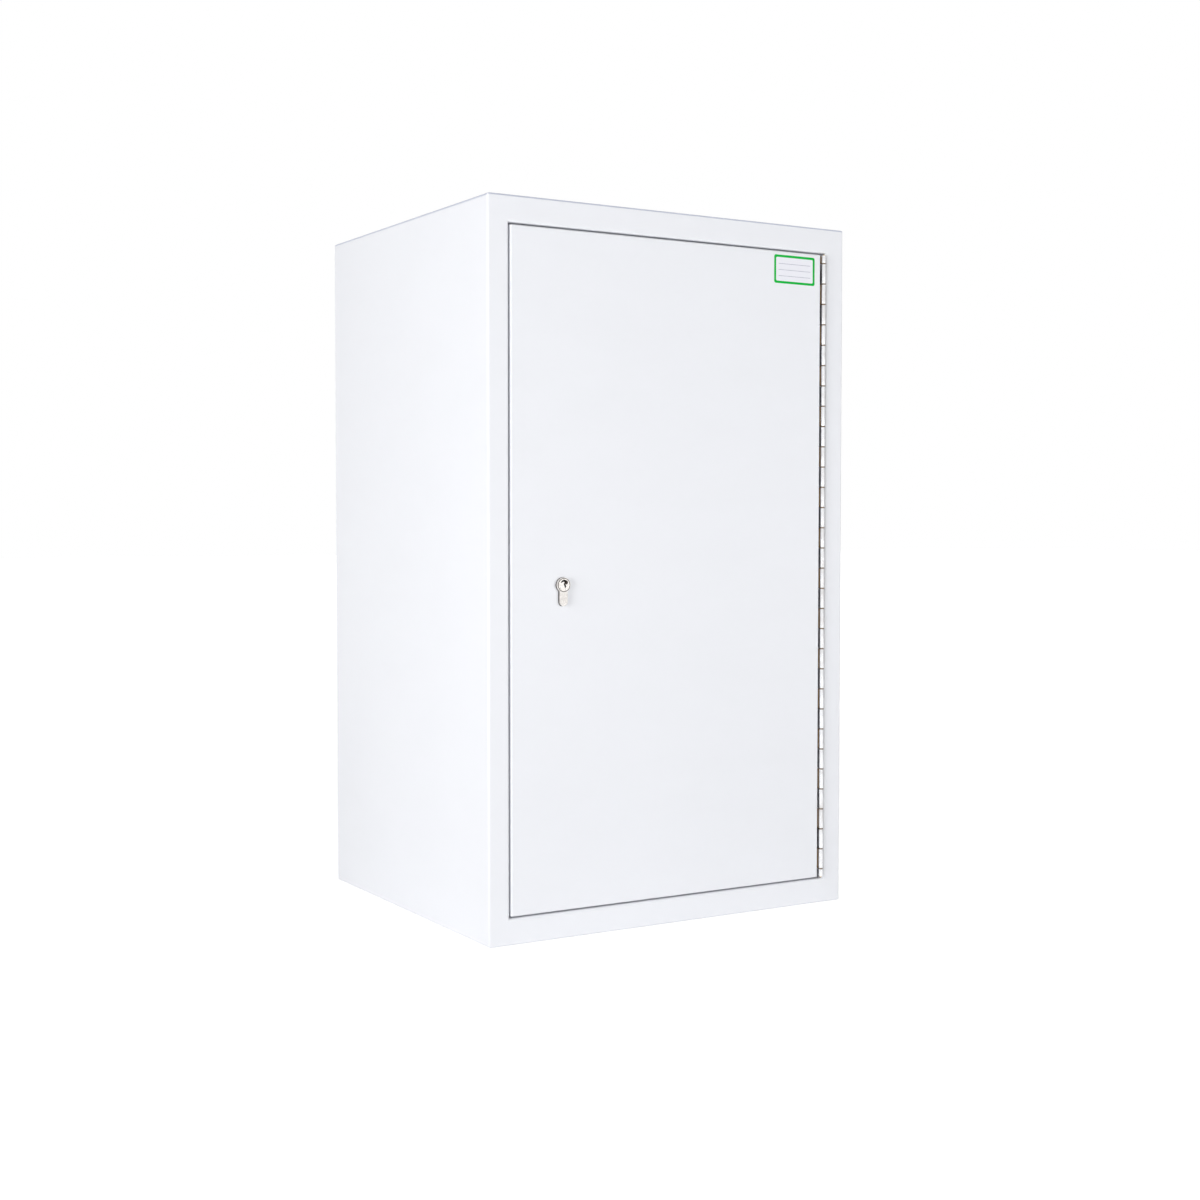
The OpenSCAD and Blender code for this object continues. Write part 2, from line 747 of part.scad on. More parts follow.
// Folded pan that is open at the back
module pan(w, depth, h, sheet, inner_bend) {
    difference() {
        pan_block(w, depth, h, inner_bend + sheet);
        translate([sheet, sheet, sheet])
            pan_block(w - 2 * sheet, depth, h - 2 * sheet, inner_bend);
    }
}

// Outline of the profile cylinder about its plug axis, grown all round
module cylinder_2d(grow) {
    circle(cyl_head_r + grow);
    translate([-cyl_body_w / 2 - grow, -cyl_drop]) square([cyl_body_w + 2 * grow, cyl_drop]);
    translate([0, -cyl_drop]) circle(cyl_body_w / 2 + grow);
}

// Cut for the profile cylinder from y0 to y1
module cylinder_cut(y0, y1) {
    along_y(y0, y1) translate([lock_x, lock_z]) cylinder_2d(cyl_space);
}

// Places of the four screws that hold the lock case
module at_case_screws() {
    for (x = [case_x0 + case_screw_inset, case_x1 - case_screw_inset])
        for (z = [case_z0 + case_screw_inset, case_z1 - case_screw_inset])
            translate([x, 0, z]) children();
}

module door_outer_skin() {
    color(powder_white) difference() {
        translate([door_x0, front_y, door_z0])
            pan(door_x1 - door_x0, door_d, door_z1 - door_z0, skin_sheet, skin_inner_bend);
        cylinder_cut(front_y - over, front_y + skin_sheet + over);
        for (i = [0 : rivet_count - 1])
            translate([0, rivet_y, rivet_z(i)])
                rod_x(door_x1 - skin_sheet - over, door_x1 + over, rivet_hole_r);
    }
}

module door_inner_panel() {
    panel_front_y = door_back_y - panel_sheet - over;
    color(powder_white) difference() {
        translate([panel_x0, door_back_y, panel_z0]) mirror([0, 1, 0])
            pan(panel_x1 - panel_x0, panel_lip, panel_z1 - panel_z0, panel_sheet, skin_inner_bend);
        cylinder_cut(panel_front_y, door_back_y + over);
        at_case_screws() rod_y(panel_front_y, door_back_y + over, case_screw_d / 2 + shank_play);
    }
}

// Top-hat channel between the two door skins, centred on x
module door_stiffener(x) {
    y0 = front_y + skin_sheet;
    y1 = door_back_y - panel_sheet;
    z0 = door_z0 + stiffener_inset;
    length = door_z1 - door_z0 - 2 * stiffener_inset;
    color(zinc) translate([x, 0, z0]) linear_extrude(length) {
        translate([-stiffener_w / 2, y0]) square([stiffener_w, stiffener_sheet]);
        for (side = [0, 1]) mirror([side, 0]) {
            translate([stiffener_w / 2 - stiffener_sheet, y0]) square([stiffener_sheet, y1 - y0]);
            translate([stiffener_w / 2 - stiffener_sheet, y1 - stiffener_sheet])
                square([stiffener_foot, stiffener_sheet]);
        }
    }
}

module hinge_hook_bar() {
    color(powder_white) translate([door_x1 - hook_land, door_back_y, door_z0 + hook_inset])
        cube([opening_x1 - door_x1 + hook_land + hook_reach, hook_t, door_z1 - door_z0 - 2 * hook_inset]);
}

module door_label() {
    color(label_white) along_y(front_y - label_t, front_y)
        translate([door_x1 - label_side_inset - label_w, door_z1 - label_top_inset - label_h])
            rounded_2d(label_w, label_h, label_r);
}

module lock_case() {
    floor_y = door_back_y + case_sheet;
    cover_y = case_back_y - case_sheet;
    window_h = bolt_h + 2 * bolt_play;
    window_t = bolt_t + 2 * bolt_play;
    color(zinc) difference() {
        translate([case_x0, door_back_y, case_z0])
            cube([case_w, case_d - case_sheet, case_z1 - case_z0]);
        translate([case_x0 + forend_t, floor_y, case_z0 + case_sheet])
            cube([case_w - forend_t - case_sheet, case_d, case_z1 - case_z0 - 2 * case_sheet]);
        translate([case_x0 - over, lock_y - window_t / 2, bolt_mid_z - window_h / 2])
            cube([forend_t + 2 * over, window_t, window_h]);
        translate([0, lock_y, lock_z - cyl_screw_drop])
            rod_x(case_x0 - over, case_x0 + forend_t + over, cyl_screw_d / 2 + shank_play);
        translate([case_x0, lock_y, lock_z - cyl_screw_drop]) countersink(shank_play);
        cylinder_cut(door_back_y - over, floor_y + over);
        at_case_screws() rod_y(door_back_y - over, cover_y, case_screw_d / 2 + shank_play);
        translate([post_x, 0, bolt_mid_z]) rod_y(door_back_y - over, cover_y, guide_d / 2);
    }
}

// Cone of the cylinder screw's head, from the face of the forend
module countersink(grow) {
    head_r = cyl_screw_head_d / 2;
    shank_r = cyl_screw_d / 2;
    rotate([0, 90, 0]) cylinder(h = head_r - shank_r, r1 = head_r + grow, r2 = shank_r + grow);
}

module lock_case_cover() {
    y0 = case_back_y - case_sheet;
    color(zinc) difference() {
        translate([case_x0, y0, case_z0]) cube([case_w, case_sheet, case_z1 - case_z0]);
        cylinder_cut(y0 - over, case_back_y + over);
        at_case_screws() rod_y(y0 - over, case_back_y + over, case_screw_d / 2 + shank_play);
        translate([post_x, 0, bolt_mid_z]) rod_y(y0 - over, case_back_y + over, guide_d / 2);
    }
}

module lock_case_screws() {
    color(bright_steel) at_case_screws() {
        rod_y(case_back_y, case_back_y + case_screw_head_h, case_screw_head_d / 2);
        rod_y(door_back_y - panel_sheet - case_nut_h - over, case_back_y, case_screw_d / 2);
    }
}

module lock_case_nuts() {
    nut_back_y = door_back_y - panel_sheet;
    color(zinc) at_case_screws() difference() {
        translate([0, nut_back_y, 0]) rotate([90, 0, 0])
            cylinder(h = case_nut_h, d = case_nut_d, $fn = 6);
        rod_y(nut_back_y - case_nut_h - over, nut_back_y + over, case_screw_d / 2 + shank_play);
    }
}

module bolt_guide_post() {
    color(zinc) translate([post_x, 0, bolt_mid_z]) rod_y(door_back_y, case_back_y, guide_d / 2);
}

module lock_bolt() {
    color(bright_steel) difference() {
        translate([bolt_x0, lock_y - bolt_t / 2, bolt_z0]) cube([bolt_l, bolt_t, bolt_h]);
        along_y(lock_y - bolt_t, lock_y + bolt_t) translate([post_x, bolt_mid_z]) {
            circle(bolt_slot_r);
            translate([0, -bolt_slot_r]) square([bolt_throw, 2 * bolt_slot_r]);
            translate([bolt_throw, 0]) circle(bolt_slot_r);
        }
    }
}

module cylinder_body() {
    color(nickel) translate([lock_x, 0, lock_z]) difference() {
        along_y(cyl_front_y, cyl_back_y) cylinder_2d(0);
        rod_y(cyl_front_y - over, lock_y, plug_d / 2 + plug_play);
        rod_y(cyl_front_y - over, flange_back_y + plug_play, plug_flange_d / 2 + plug_play);
        rod_y(lock_y - cam_slot_w / 2, lock_y + cam_slot_w / 2, cam_reach + cam_space);
        for (i = [0 : pin_count - 1])
            translate([0, pin_y(i), pin_bore_bottom]) cylinder(h = -pin_bore_bottom, r = pin_bore_r);
        translate([0, lock_y, -cyl_screw_drop])
            rod_x(-cyl_body_w, cyl_body_w, cyl_screw_d / 2 + shank_play);
    }
}

module cylinder_screw() {
    color(bright_steel) translate([case_x0, lock_y, lock_z - cyl_screw_drop]) {
        countersink(0);
        rod_x(0, backset + cyl_screw_past, cyl_screw_d / 2);
    }
}

module driver_pins() {
    color(brass) for (i = [0 : pin_count - 1])
        translate([lock_x, pin_y(i), lock_z + driver_top - driver_l]) cylinder(h = driver_l, d = pin_d);
}

module pin_springs() {
    spring_l = driver_top - driver_l - pin_bore_bottom;
    color(bright_steel) for (i = [0 : pin_count - 1])
        translate([lock_x, pin_y(i), lock_z + pin_bore_bottom]) difference() {
            cylinder(h = spring_l, d = pin_d);
            translate([0, 0, -over]) cylinder(h = spring_l + 2 * over, r = pin_d / 2 - spring_wall);
        }
}

// Section of the keyway about the plug axis: two upright halves, stepped sideways
module keyway_2d() {
    low = -plug_flange_d / 2 - over;
    translate([-keyway_w / 2, low]) square([keyway_w, -low]);
    translate([-keyway_w / 2 - keyway_step, -keyway_w / 2])
        square([keyway_w + keyway_step, keyway_w / 2]);
    translate([-keyway_w / 2 - keyway_step, -keyway_w / 2]) square([keyway_w, keyway_top + keyway_w / 2]);
}

module cylinder_plug() {
    color(nickel) translate([lock_x, 0, lock_z]) difference() {
        union() {
            rod_y(cyl_front_y - plug_proud, flange_back_y, plug_flange_d / 2);
            rod_y(flange_back_y, plug_back_y, plug_d / 2);
            rod_y(plug_back_y, lock_y + cam_w / 2, plug_tail_d / 2);
        }
        along_y(cyl_front_y - plug_proud - over, plug_back_y - keyway_w) keyway_2d();
        for (i = [0 : pin_count - 1])
            translate([0, pin_y(i), -plug_d]) cylinder(h = plug_d, r = pin_bore_r);
    }
}

module key_pins() {
    color(brass) for (i = [0 : pin_count - 1])
        translate([lock_x, pin_y(i), lock_z + key_pin_bottom])
            cylinder(h = -key_pin_bottom - keyway_w / 2, d = pin_d);
}

module cylinder_cam() {
    color(zinc) translate([lock_x, 0, lock_z]) difference() {
        along_y(lock_y - cam_w / 2, lock_y + cam_w / 2) {
            circle(cam_hub_d / 2);
            intersection() {
                translate([-cam_lever_w / 2, -cam_reach]) square([cam_lever_w, cam_reach]);
                circle(cam_reach);
            }
        }
        rod_y(lock_y - cam_w, lock_y + cam_w, plug_tail_d / 2 + plug_play);
    }
}

left_side_panel();
right_side_panel();
top_panel();
base_panel();
back_panel();
closing_stop_strip();
top_stop_strip();
base_stop_strip();
rubber_buffers();
anchor_plate(-1, 1);  // anchor_plate_upper_left
anchor_plate(1, 1);  // anchor_plate_upper_right
anchor_plate(-1, -1);  // anchor_plate_lower_left
anchor_plate(1, -1);  // anchor_plate_lower_right
shelf_strip(-1, strip_front_y);  // shelf_strip_front_left
shelf_strip(1, strip_front_y);  // shelf_strip_front_right
shelf_strip(-1, strip_back_y);  // shelf_strip_back_left
shelf_strip(1, strip_back_y);  // shelf_strip_back_right
shelf_at(lower_shelf_slot);  // lower_shelf
shelf_at(middle_shelf_slot);  // middle_shelf
shelf_at(upper_shelf_slot);  // upper_shelf
clips_for(lower_shelf_slot);  // lower_shelf_clips
clips_for(middle_shelf_slot);  // middle_shelf_clips
clips_for(upper_shelf_slot);  // upper_shelf_clips
bolt_keep();
hinge_frame_leaf();
hinge_pin();
hinge_frame_rivets();
door_outer_skin();
door_inner_panel();
door_stiffener(stiffener_x);  // door_stiffener_left
door_stiffener(stiffener_x + stiffener_span);  // door_stiffener_right
hinge_hook_bar();
hinge_door_leaf();
hinge_door_rivets();
door_label();
lock_case();
lock_case_cover();
lock_case_screws();
lock_case_nuts();
bolt_guide_post();
cylinder_body();
cylinder_screw();
driver_pins();
pin_springs();
cylinder_plug();
key_pins();
cylinder_cam();
lock_bolt();
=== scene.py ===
# %% [markdown]
# A lockable medicine cabinet of white powder-coated steel. Its construction comes in as a fixed
# frame of separate parts: body panels, door skins, hinge, lock, shelves. This lesson gives every
# part its finish and models again the small pieces whose edges catch the light: the hinge
# knuckles, the lock cylinder with its plug, the rivets, the screws, the buffers and the label.
# All lengths are in metres, X runs to the hinge side, Y runs to the back, and Z runs up.

# %% Load the frame
import json
import math

import bmesh
import bpy
from mathutils import Euler, Matrix, Vector

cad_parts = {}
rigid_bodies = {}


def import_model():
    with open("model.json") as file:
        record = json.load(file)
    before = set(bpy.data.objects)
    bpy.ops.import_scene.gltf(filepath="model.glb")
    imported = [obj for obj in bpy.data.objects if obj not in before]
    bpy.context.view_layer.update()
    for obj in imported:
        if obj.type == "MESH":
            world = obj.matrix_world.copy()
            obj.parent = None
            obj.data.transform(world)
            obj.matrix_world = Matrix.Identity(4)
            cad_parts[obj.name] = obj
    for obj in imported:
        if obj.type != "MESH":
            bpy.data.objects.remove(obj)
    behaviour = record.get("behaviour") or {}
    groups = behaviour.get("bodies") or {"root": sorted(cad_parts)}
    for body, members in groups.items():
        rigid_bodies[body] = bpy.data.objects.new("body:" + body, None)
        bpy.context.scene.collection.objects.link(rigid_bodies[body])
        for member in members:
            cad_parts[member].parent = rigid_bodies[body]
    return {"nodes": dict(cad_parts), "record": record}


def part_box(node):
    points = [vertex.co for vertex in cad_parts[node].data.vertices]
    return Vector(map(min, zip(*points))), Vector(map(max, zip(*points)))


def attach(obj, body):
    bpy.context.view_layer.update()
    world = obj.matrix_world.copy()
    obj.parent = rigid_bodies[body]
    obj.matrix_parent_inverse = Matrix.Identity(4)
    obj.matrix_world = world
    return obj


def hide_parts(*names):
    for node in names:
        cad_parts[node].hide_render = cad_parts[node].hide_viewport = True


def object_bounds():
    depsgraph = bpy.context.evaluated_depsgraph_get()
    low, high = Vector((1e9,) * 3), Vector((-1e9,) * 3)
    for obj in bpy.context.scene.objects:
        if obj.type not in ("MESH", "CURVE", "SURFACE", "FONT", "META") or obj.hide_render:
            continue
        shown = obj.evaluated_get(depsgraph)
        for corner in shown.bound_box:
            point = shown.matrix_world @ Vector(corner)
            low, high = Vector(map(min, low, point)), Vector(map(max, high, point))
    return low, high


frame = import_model()
cad_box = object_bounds()
nodes = frame["nodes"]
MM = 0.001
MICRON = 0.001 * MM
INCH = 25.4 * MM

# %% [markdown]
# A finish is a small network of shader nodes. Writing it as sums is easier to read than wiring it
# by hand, so a wire here is an output socket that knows plus, minus, times, over and power. Any
# other node comes from one method that takes a kind of node, its settings and its inputs.


# %% A wire that can be calculated with
class Wire:
    """An output socket of one finish, for use in Python sums."""

    def __init__(self, finish, socket):
        self.finish = finish
        self.socket = socket

    def sum_node(self, operation, first, second):
        return self.finish.node("ShaderNodeMath", {"operation": operation}, {0: first, 1: second})

    def __add__(self, other):
        return self.sum_node("ADD", self, other)

    def __radd__(self, other):
        return self.sum_node("ADD", other, self)

    def __sub__(self, other):
        return self.sum_node("SUBTRACT", self, other)

    def __rsub__(self, other):
        return self.sum_node("SUBTRACT", other, self)

    def __mul__(self, other):
        return self.sum_node("MULTIPLY", self, other)

    def __rmul__(self, other):
        return self.sum_node("MULTIPLY", other, self)

    def __truediv__(self, other):
        return self.sum_node("DIVIDE", self, other)

    def __rtruediv__(self, other):
        return self.sum_node("DIVIDE", other, self)

    def __pow__(self, other):
        return self.sum_node("POWER", self, other)

    def __rpow__(self, other):
        return self.sum_node("POWER", other, self)


# %% A finish, and a short way to add nodes to it
class Finish:
    """The nodes of a new material, or of the world: object coordinates and a closing shader."""

    def __init__(self, name, world=None):
        self.owner = world or bpy.data.materials.new(name)
        self.owner.use_nodes = True
        self.tree = self.owner.node_tree
        self.surface = self.tree.nodes["Background" if world else "Principled BSDF"]
        self.place = self.node("ShaderNodeTexCoord", out="Object")

    def node(self, kind, settings=None, inputs=None, out=0):
        """Any node: its kind, its settings, its inputs, and the output that is wanted."""
        made = self.tree.nodes.new(kind)
        for key, value in (settings or {}).items():
            setattr(made, key, value)
        for key, value in (inputs or {}).items():
            self.join(value, made.inputs[key])
        return Wire(self, made.outputs[out])

    def join(self, value, socket):
        """A wire is linked, and a number or a plain colour is set."""
        if isinstance(value, Wire):
            self.tree.links.new(value.socket, socket)
        elif socket.type == "RGBA":
            socket.default_value = (*value, 1)
        else:
            socket.default_value = value

    def spread(self, scale):
        """Object coordinates, scaled by one number or by three."""
        three = scale if hasattr(scale, "__len__") else (scale, scale, scale)
        return self.node(
            "ShaderNodeMapping", None, {"Vector": self.place, "Scale": three}, "Vector")

    def noise(self, scale, detail=2.0, roughness=0.5):
        return self.node(
            "ShaderNodeTexNoise", None,
            {"Vector": self.spread(scale), "Scale": 1.0, "Detail": detail, "Roughness": roughness},
            "Fac")

    def ease(self, value, low, high, to_low=0.0, to_high=1.0):
        """A slope from to_low, where value is low, to to_high, where it is high."""
        ends = {"From Min": low, "From Max": high, "To Min": to_low, "To Max": to_high}
        return self.node(
            "ShaderNodeMapRange", {"clamp": True}, {"Value": value, **ends}, "Result")

    def blend(self, amount, first, second):
        """The first colour where amount is 0, the second where it is 1."""
        return self.node(
            "ShaderNodeMix", {"data_type": "RGBA"}, {0: amount, 6: first, 7: second}, 2)

    def bump(self, height, depth, under=None):
        """Relief of a real depth in metres, over another relief where one is given."""
        inputs = {"Height": height, "Distance": depth, "Strength": 1.0}
        if under is not None:
            inputs["Normal"] = under
        return self.node("ShaderNodeBump", None, inputs, "Normal")

    def glow(self, strength):
        """White light of its own, as a shader."""
        return self.node(
            "ShaderNodeEmission", None, {"Color": (1, 1, 1), "Strength": strength}, "Emission")

    def set(self, **values):
        for key, value in values.items():
            self.join(value, self.surface.inputs[key.replace("_", " ")])

    def close(self, shader):
        """Send another shader to the surface in place of the first one."""
        self.join(shader, self.tree.nodes["Material Output"].inputs["Surface"])


# %% [markdown]
# A mask says where on a surface something is: 1 there, 0 elsewhere, and a soft slope between. It is
# worked out from the place in metres or from the way the surface faces, so three small helpers
# read one axis of a vector, take a size without its sign, and pick the greater of two masks.


# %% Read one axis of a vector, a size without its sign, and the greater of two
def axis(finish, source, letter):
    return finish.node("ShaderNodeSeparateXYZ", None, {"Vector": source}, letter)


def size_of(finish, value):
    return finish.node("ShaderNodeMath", {"operation": "ABSOLUTE"}, {0: value})


def greater(finish, first, second):
    return finish.node("ShaderNodeMath", {"operation": "MAXIMUM"}, {0: first, 1: second})


# %% [markdown]
# Powder coat is plastic dust that is sprayed on dry and melted in an oven. It flows, but never
# quite flat: it keeps an orange-peel ripple about 2 mm across and a few microns high. Under it the
# sheet itself is a little wavy from rolling and welding, which bends long reflections. Both could
# be modelled, but they are far finer than any mesh, so they are relief in the finish, made of
# noise that has no seams. The gloss varies a little where hands and cloths have been. Along the
# bends of the top edges a blue-grey shade is painted into the colour, to darken them as a dark
# ceiling would.


# %% White powder coat
def powder_coat():
    coat = Finish("powder_coat")
    clean = (0.868, 0.880, 0.918)
    handled = (0.838, 0.850, 0.885)
    painted_top_shade = (0.50, 0.535, 0.67)
    cloud = coat.noise(3.1, 3.0)
    smear = coat.noise((9.0, 9.0, 22.0), 4.0, 0.6)
    dust = coat.ease(coat.noise(620.0, 1.0), 0.66, 0.74)
    wear_and_painted_shade = coat.ease(cloud * 0.6 + smear * 0.4, 0.42, 0.74) * 0.55 + dust * 0.12
    peel = coat.noise(520.0, 1.5, 0.45)
    wave = coat.noise((5.0, 5.0, 4.0), 1.0)
    relief = coat.bump(peel, 14 * MICRON, coat.bump(wave, 0.6 * MM))
    gloss = coat.ease(smear, 0.3, 0.75, 0.36, 0.45) + dust * 0.06
    # Painted shade: on the upward-facing bends near the top, the colour turns blue-grey, darker
    # than the white coat.
    rise = axis(coat, coat.node("ShaderNodeTexCoord", out="Normal"), "Z")
    body_top = cad_box[1][2]
    bend = coat.ease(rise, 0.2, 0.5) * coat.ease(rise, 0.995, 0.96)
    near_top = coat.ease(axis(coat, coat.place, "Z"), body_top - 10 * MM, body_top - 5 * MM)
    thin_film_and_painted_shade = bend * near_top * (0.75 + cloud * 0.2)
    shade = coat.blend(thin_film_and_painted_shade, coat.blend(wear_and_painted_shade, clean, handled), painted_top_shade)
    coat.set(Base_Color=shade, Roughness=gloss, Normal=relief, IOR=1.5)
    return coat.owner


finishes = {"powder_coat": powder_coat()}
print("finish: powder_coat")

# %% [markdown]
# The metals differ in how they were worked. Hinge strip is rolled and then bright plated, so its
# fine lines run along its length; shade is painted dark into its necks and joints, and its colour
# is set brighter than plain bright steel, a painted highlight. Zinc plate has a soft mottled grain.
# A lock cylinder is milled, then plated with nickel, which is warmer than steel; its polished face
# is bright, and shade is painted dark into its sides and rims, which are also rougher. A stretched
# noise draws the lines as fine relief. A shader with brushed highlights could do it too, but its
# effect would be lost in an exported model, and relief isn't.


# %% A worked metal: lines or grain, stains, and a little unevenness in its gloss
def metal(name, bright, stained, gloss, grain, stain_scale, lines, painted_shade=None, painted_shade_color=None):
    made = Finish(name)
    streak = made.noise(grain, 3.0, 0.6)
    stain = made.ease(made.noise(stain_scale, 4.0, 0.62), 0.46, 0.72)
    fine = made.ease(streak, 0.3, 0.7)
    shade = made.blend(stain * 0.7 + fine * 0.18, bright, stained)
    rough = made.ease(fine, 0.0, 1.0, gloss[0], gloss[1]) + stain * 0.08
    # Painted shade: where the mask is 1, the colour turns to the dark shade colour and the gloss
    # drops.
    if painted_shade:
        wear_and_painted_shade = painted_shade(made)
        shade = made.blend(wear_and_painted_shade, shade, painted_shade_color)
        rough = rough + wear_and_painted_shade * 0.2
    made.set(Base_Color=shade, Metallic=1.0, Roughness=rough, Normal=made.bump(streak, lines))
    return made.owner


# %% [markdown]
# Shade is painted into the metals where light would not reach. On the lock that is the seam round
# the plug, darkest at the lower right where the flange would cast its shadow, the keyway and the
# sides by the door, and the foot is painted darker towards its bottom. On the hinge it is the necks
# behind the barrel, the joints between knuckles and the side of the barrel next to the frame. Each
# mask is read from the boxes of the parts, so it stays in its place when the object moves.


# %% Where shade is painted on the lock: dark and rough
def lock_painted_shade(finish):
    low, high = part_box("cylinder_body")
    radius = (high.x - low.x) / 2
    across = axis(finish, finish.place, "X") - (low.x + high.x) / 2
    up = axis(finish, finish.place, "Z") - (high.z - radius)
    from_axis = (across * across + up * up) ** 0.5
    inside = finish.ease(from_axis, radius - 0.3 * MM, radius - 0.45 * MM)
    facing = size_of(finish, axis(finish, finish.node("ShaderNodeTexCoord", out="Normal"), "Y"))
    plug_low, plug_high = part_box("cylinder_plug")
    from_seam = size_of(finish, from_axis - (plug_high.x - plug_low.x) / 2)
    # Painted shadow: the seam ring is darkest at the lower right, where the proud flange would cast
    # it.
    wear_and_painted_shade = finish.ease(across - up, -5 * MM, 4 * MM, 0.3, 0.92)
    ring = finish.ease(from_seam, 0.5 * MM, 0.35 * MM) * wear_and_painted_shade
    seam = greater(finish, finish.ease(facing, 0.93, 0.74) * inside * 0.97, ring)
    # Painted shade in the keyway and on the sides by the door.
    depth = axis(finish, finish.place, "Y") - low.y
    side = finish.ease(facing, 0.6, 0.3) * finish.ease(depth, 2.4 * MM, 3.0 * MM, 0.08, 0.9)
    sunk = finish.ease(depth, 0.15 * MM, 0.5 * MM) * finish.ease(depth, 6 * MM, 5 * MM) * inside
    # The foot is painted darker towards its bottom.
    low_part = finish.ease(up, -7 * MM, -9.5 * MM)
    side = greater(finish, side, finish.ease(facing, 0.6, 0.3) * low_part * 0.22)
    inner = greater(finish, sunk * 0.97, low_part * 0.15)
    return greater(finish, greater(finish, seam, side), inner)


# %% Where shade is painted on the hinge: dark and rough
def hinge_painted_shade(finish):
    low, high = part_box("hinge_frame_leaf")
    pin_low, pin_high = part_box("hinge_pin")
    across = axis(finish, finish.place, "X") - (pin_low.x + pin_high.x) / 2
    depth = axis(finish, finish.place, "Y") - (pin_low.y + pin_high.y) / 2
    # Painted shade in the necks behind the barrel, in the joints between knuckles, and on the
    # barrel's side by the frame.
    neck = finish.ease(depth, 1.4 * MM, 2.1 * MM) * finish.ease(depth, 5.6 * MM, 5.1 * MM)
    neck = neck * finish.ease(across, -0.2 * MM, -0.8 * MM)
    flank = finish.ease(across, 1.9 * MM, 2.4 * MM) * finish.ease(depth, 1.2 * MM, 0.8 * MM)
    turns = (axis(finish, finish.place, "Z") - (low.z + high.z) / 2) / INCH + 100.5
    phase = finish.node("ShaderNodeMath", {"operation": "FRACT"}, {0: turns}) - 0.5
    joint = finish.ease(size_of(finish, phase), 1.1 * MM / INCH, 0.5 * MM / INCH)
    joint = joint * finish.ease(depth, 2.8 * MM, 2.4 * MM)
    darkest = greater(finish, greater(finish, neck, joint * 0.95), flank * 0.8)
    return darkest * (0.85 + finish.noise(260.0, 2.0) * 0.3)


# %% Hinge steel, zinc plate, nickel and brass
finishes["bright_steel"] = metal(
    "bright_steel", (0.72, 0.735, 0.77), (0.50, 0.48, 0.46), (0.2, 0.34), (900, 900, 30), 55,
    6 * MICRON)
finishes["zinc_plate"] = metal(
    "zinc_plate", (0.66, 0.68, 0.70), (0.50, 0.52, 0.55), (0.3, 0.44), (260, 260, 200), 40,
    8 * MICRON)
# The nickel and the hinge steel carry painted shade: near black on the lock, dark brown on the
# hinge.
finishes["satin_nickel"] = metal(
    "satin_nickel", (0.885, 0.855, 0.825), (0.76, 0.72, 0.68), (0.2, 0.32), (700, 60, 700), 240,
    5 * MICRON, lock_painted_shade, (0.06, 0.045, 0.036))
# The hinge steel's colour is raised above the bright steel's, a painted highlight in place of lamp
# reflections.
finishes["hinge_steel"] = metal(
    "hinge_steel", (0.93, 0.94, 0.96), (0.70, 0.68, 0.67), (0.2, 0.34), (900, 900, 30), 55,
    6 * MICRON, hinge_painted_shade, (0.23, 0.155, 0.09))
finishes["pin_brass"] = metal(
    "pin_brass", (0.74, 0.55, 0.29), (0.48, 0.33, 0.17), (0.26, 0.4), (500, 500, 60), 180,
    6 * MICRON)
print("finishes:", ", ".join(sorted(finishes)))

# %% [markdown]
# Three finishes aren't metal. The buffers are moulded rubber with a dry bloom. The label is
# printed vinyl film: a pale field with a thin green border that is printed on top of it, and fine
# grey rules to write on. A print is only ink, so border and rules take the film's own gloss.


# %% Rubber and printed film
def rubber():
    made = Finish("buffer_rubber")
    bloom = made.ease(made.noise(400.0, 3.0), 0.4, 0.7)
    made.set(
        Base_Color=made.blend(bloom, (0.055, 0.055, 0.06), (0.105, 0.105, 0.11)),
        Roughness=0.72 + bloom * 0.15, Normal=made.bump(made.noise(1500.0, 2.0), 20 * MICRON))
    return made.owner


def film(name, full, thin_film_and_painted_shade, sheen):
    made = Finish(name)
    mottle = made.ease(made.noise(1100.0, 2.0), 0.35, 0.7)
    made.set(Specular_IOR_Level=sheen)
    made.set(
        Base_Color=made.blend(mottle * 0.6, full, thin_film_and_painted_shade), Roughness=0.3 + mottle * 0.08,
        Normal=made.bump(made.noise(240.0, 1.0), 10 * MICRON))
    return made.owner


finishes["buffer_rubber"] = rubber()
finishes["label_vinyl"] = film("label_vinyl", (0.87, 0.875, 0.935), (0.85, 0.855, 0.92), 0.5)
finishes["label_green"] = film("label_green", (0.002, 0.47, 0.045), (0.005, 0.51, 0.06), 0.1)
finishes["label_grey"] = film("label_grey", (0.25, 0.26, 0.36), (0.33, 0.34, 0.44), 0.3)
print("finishes:", ", ".join(sorted(finishes)))

# %% [markdown]
# The record of the frame names a finish for each part. Parts could be dressed one by one, but a
# loop over the record forgets none of them. Those that a new piece stands for are dressed too.

# %% Give every part of the frame the finish that the record names for it
for part in frame["record"]["subparts"]:
    slots = nodes[part["node"]].data.materials
    slots.clear()
    slots.append(finishes[part["material_slot"]])

# %% [markdown]
# New pieces share a few steps: a bmesh becomes an object with one finish, rides on a body of the
# frame and stands for the plain part it replaces. Its object stays at the origin, and its place is
# in its mesh, so that patterns on object coordinates neither slide nor turn.


# %% From a bmesh to a finished piece
def piece(name, mesh, finish, body, slot, *stands_for):
    bmesh.ops.remove_doubles(mesh, verts=mesh.verts, dist=1e-7)
    bmesh.ops.recalc_face_normals(mesh, faces=mesh.faces)
    data = bpy.data.meshes.new(name)
    mesh.to_mesh(data)
    mesh.free()
    made = bpy.data.objects.new(name, data)
    bpy.context.scene.collection.objects.link(made)
    data.materials.append(finishes[finish])
    data.shade_smooth()
    data.set_sharp_from_angle(angle=math.radians(35))
    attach(made, body)
    if stands_for:
        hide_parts(*stands_for)
    print(f"{name}: {len(data.polygons)} faces, rides on {body}")
    return made


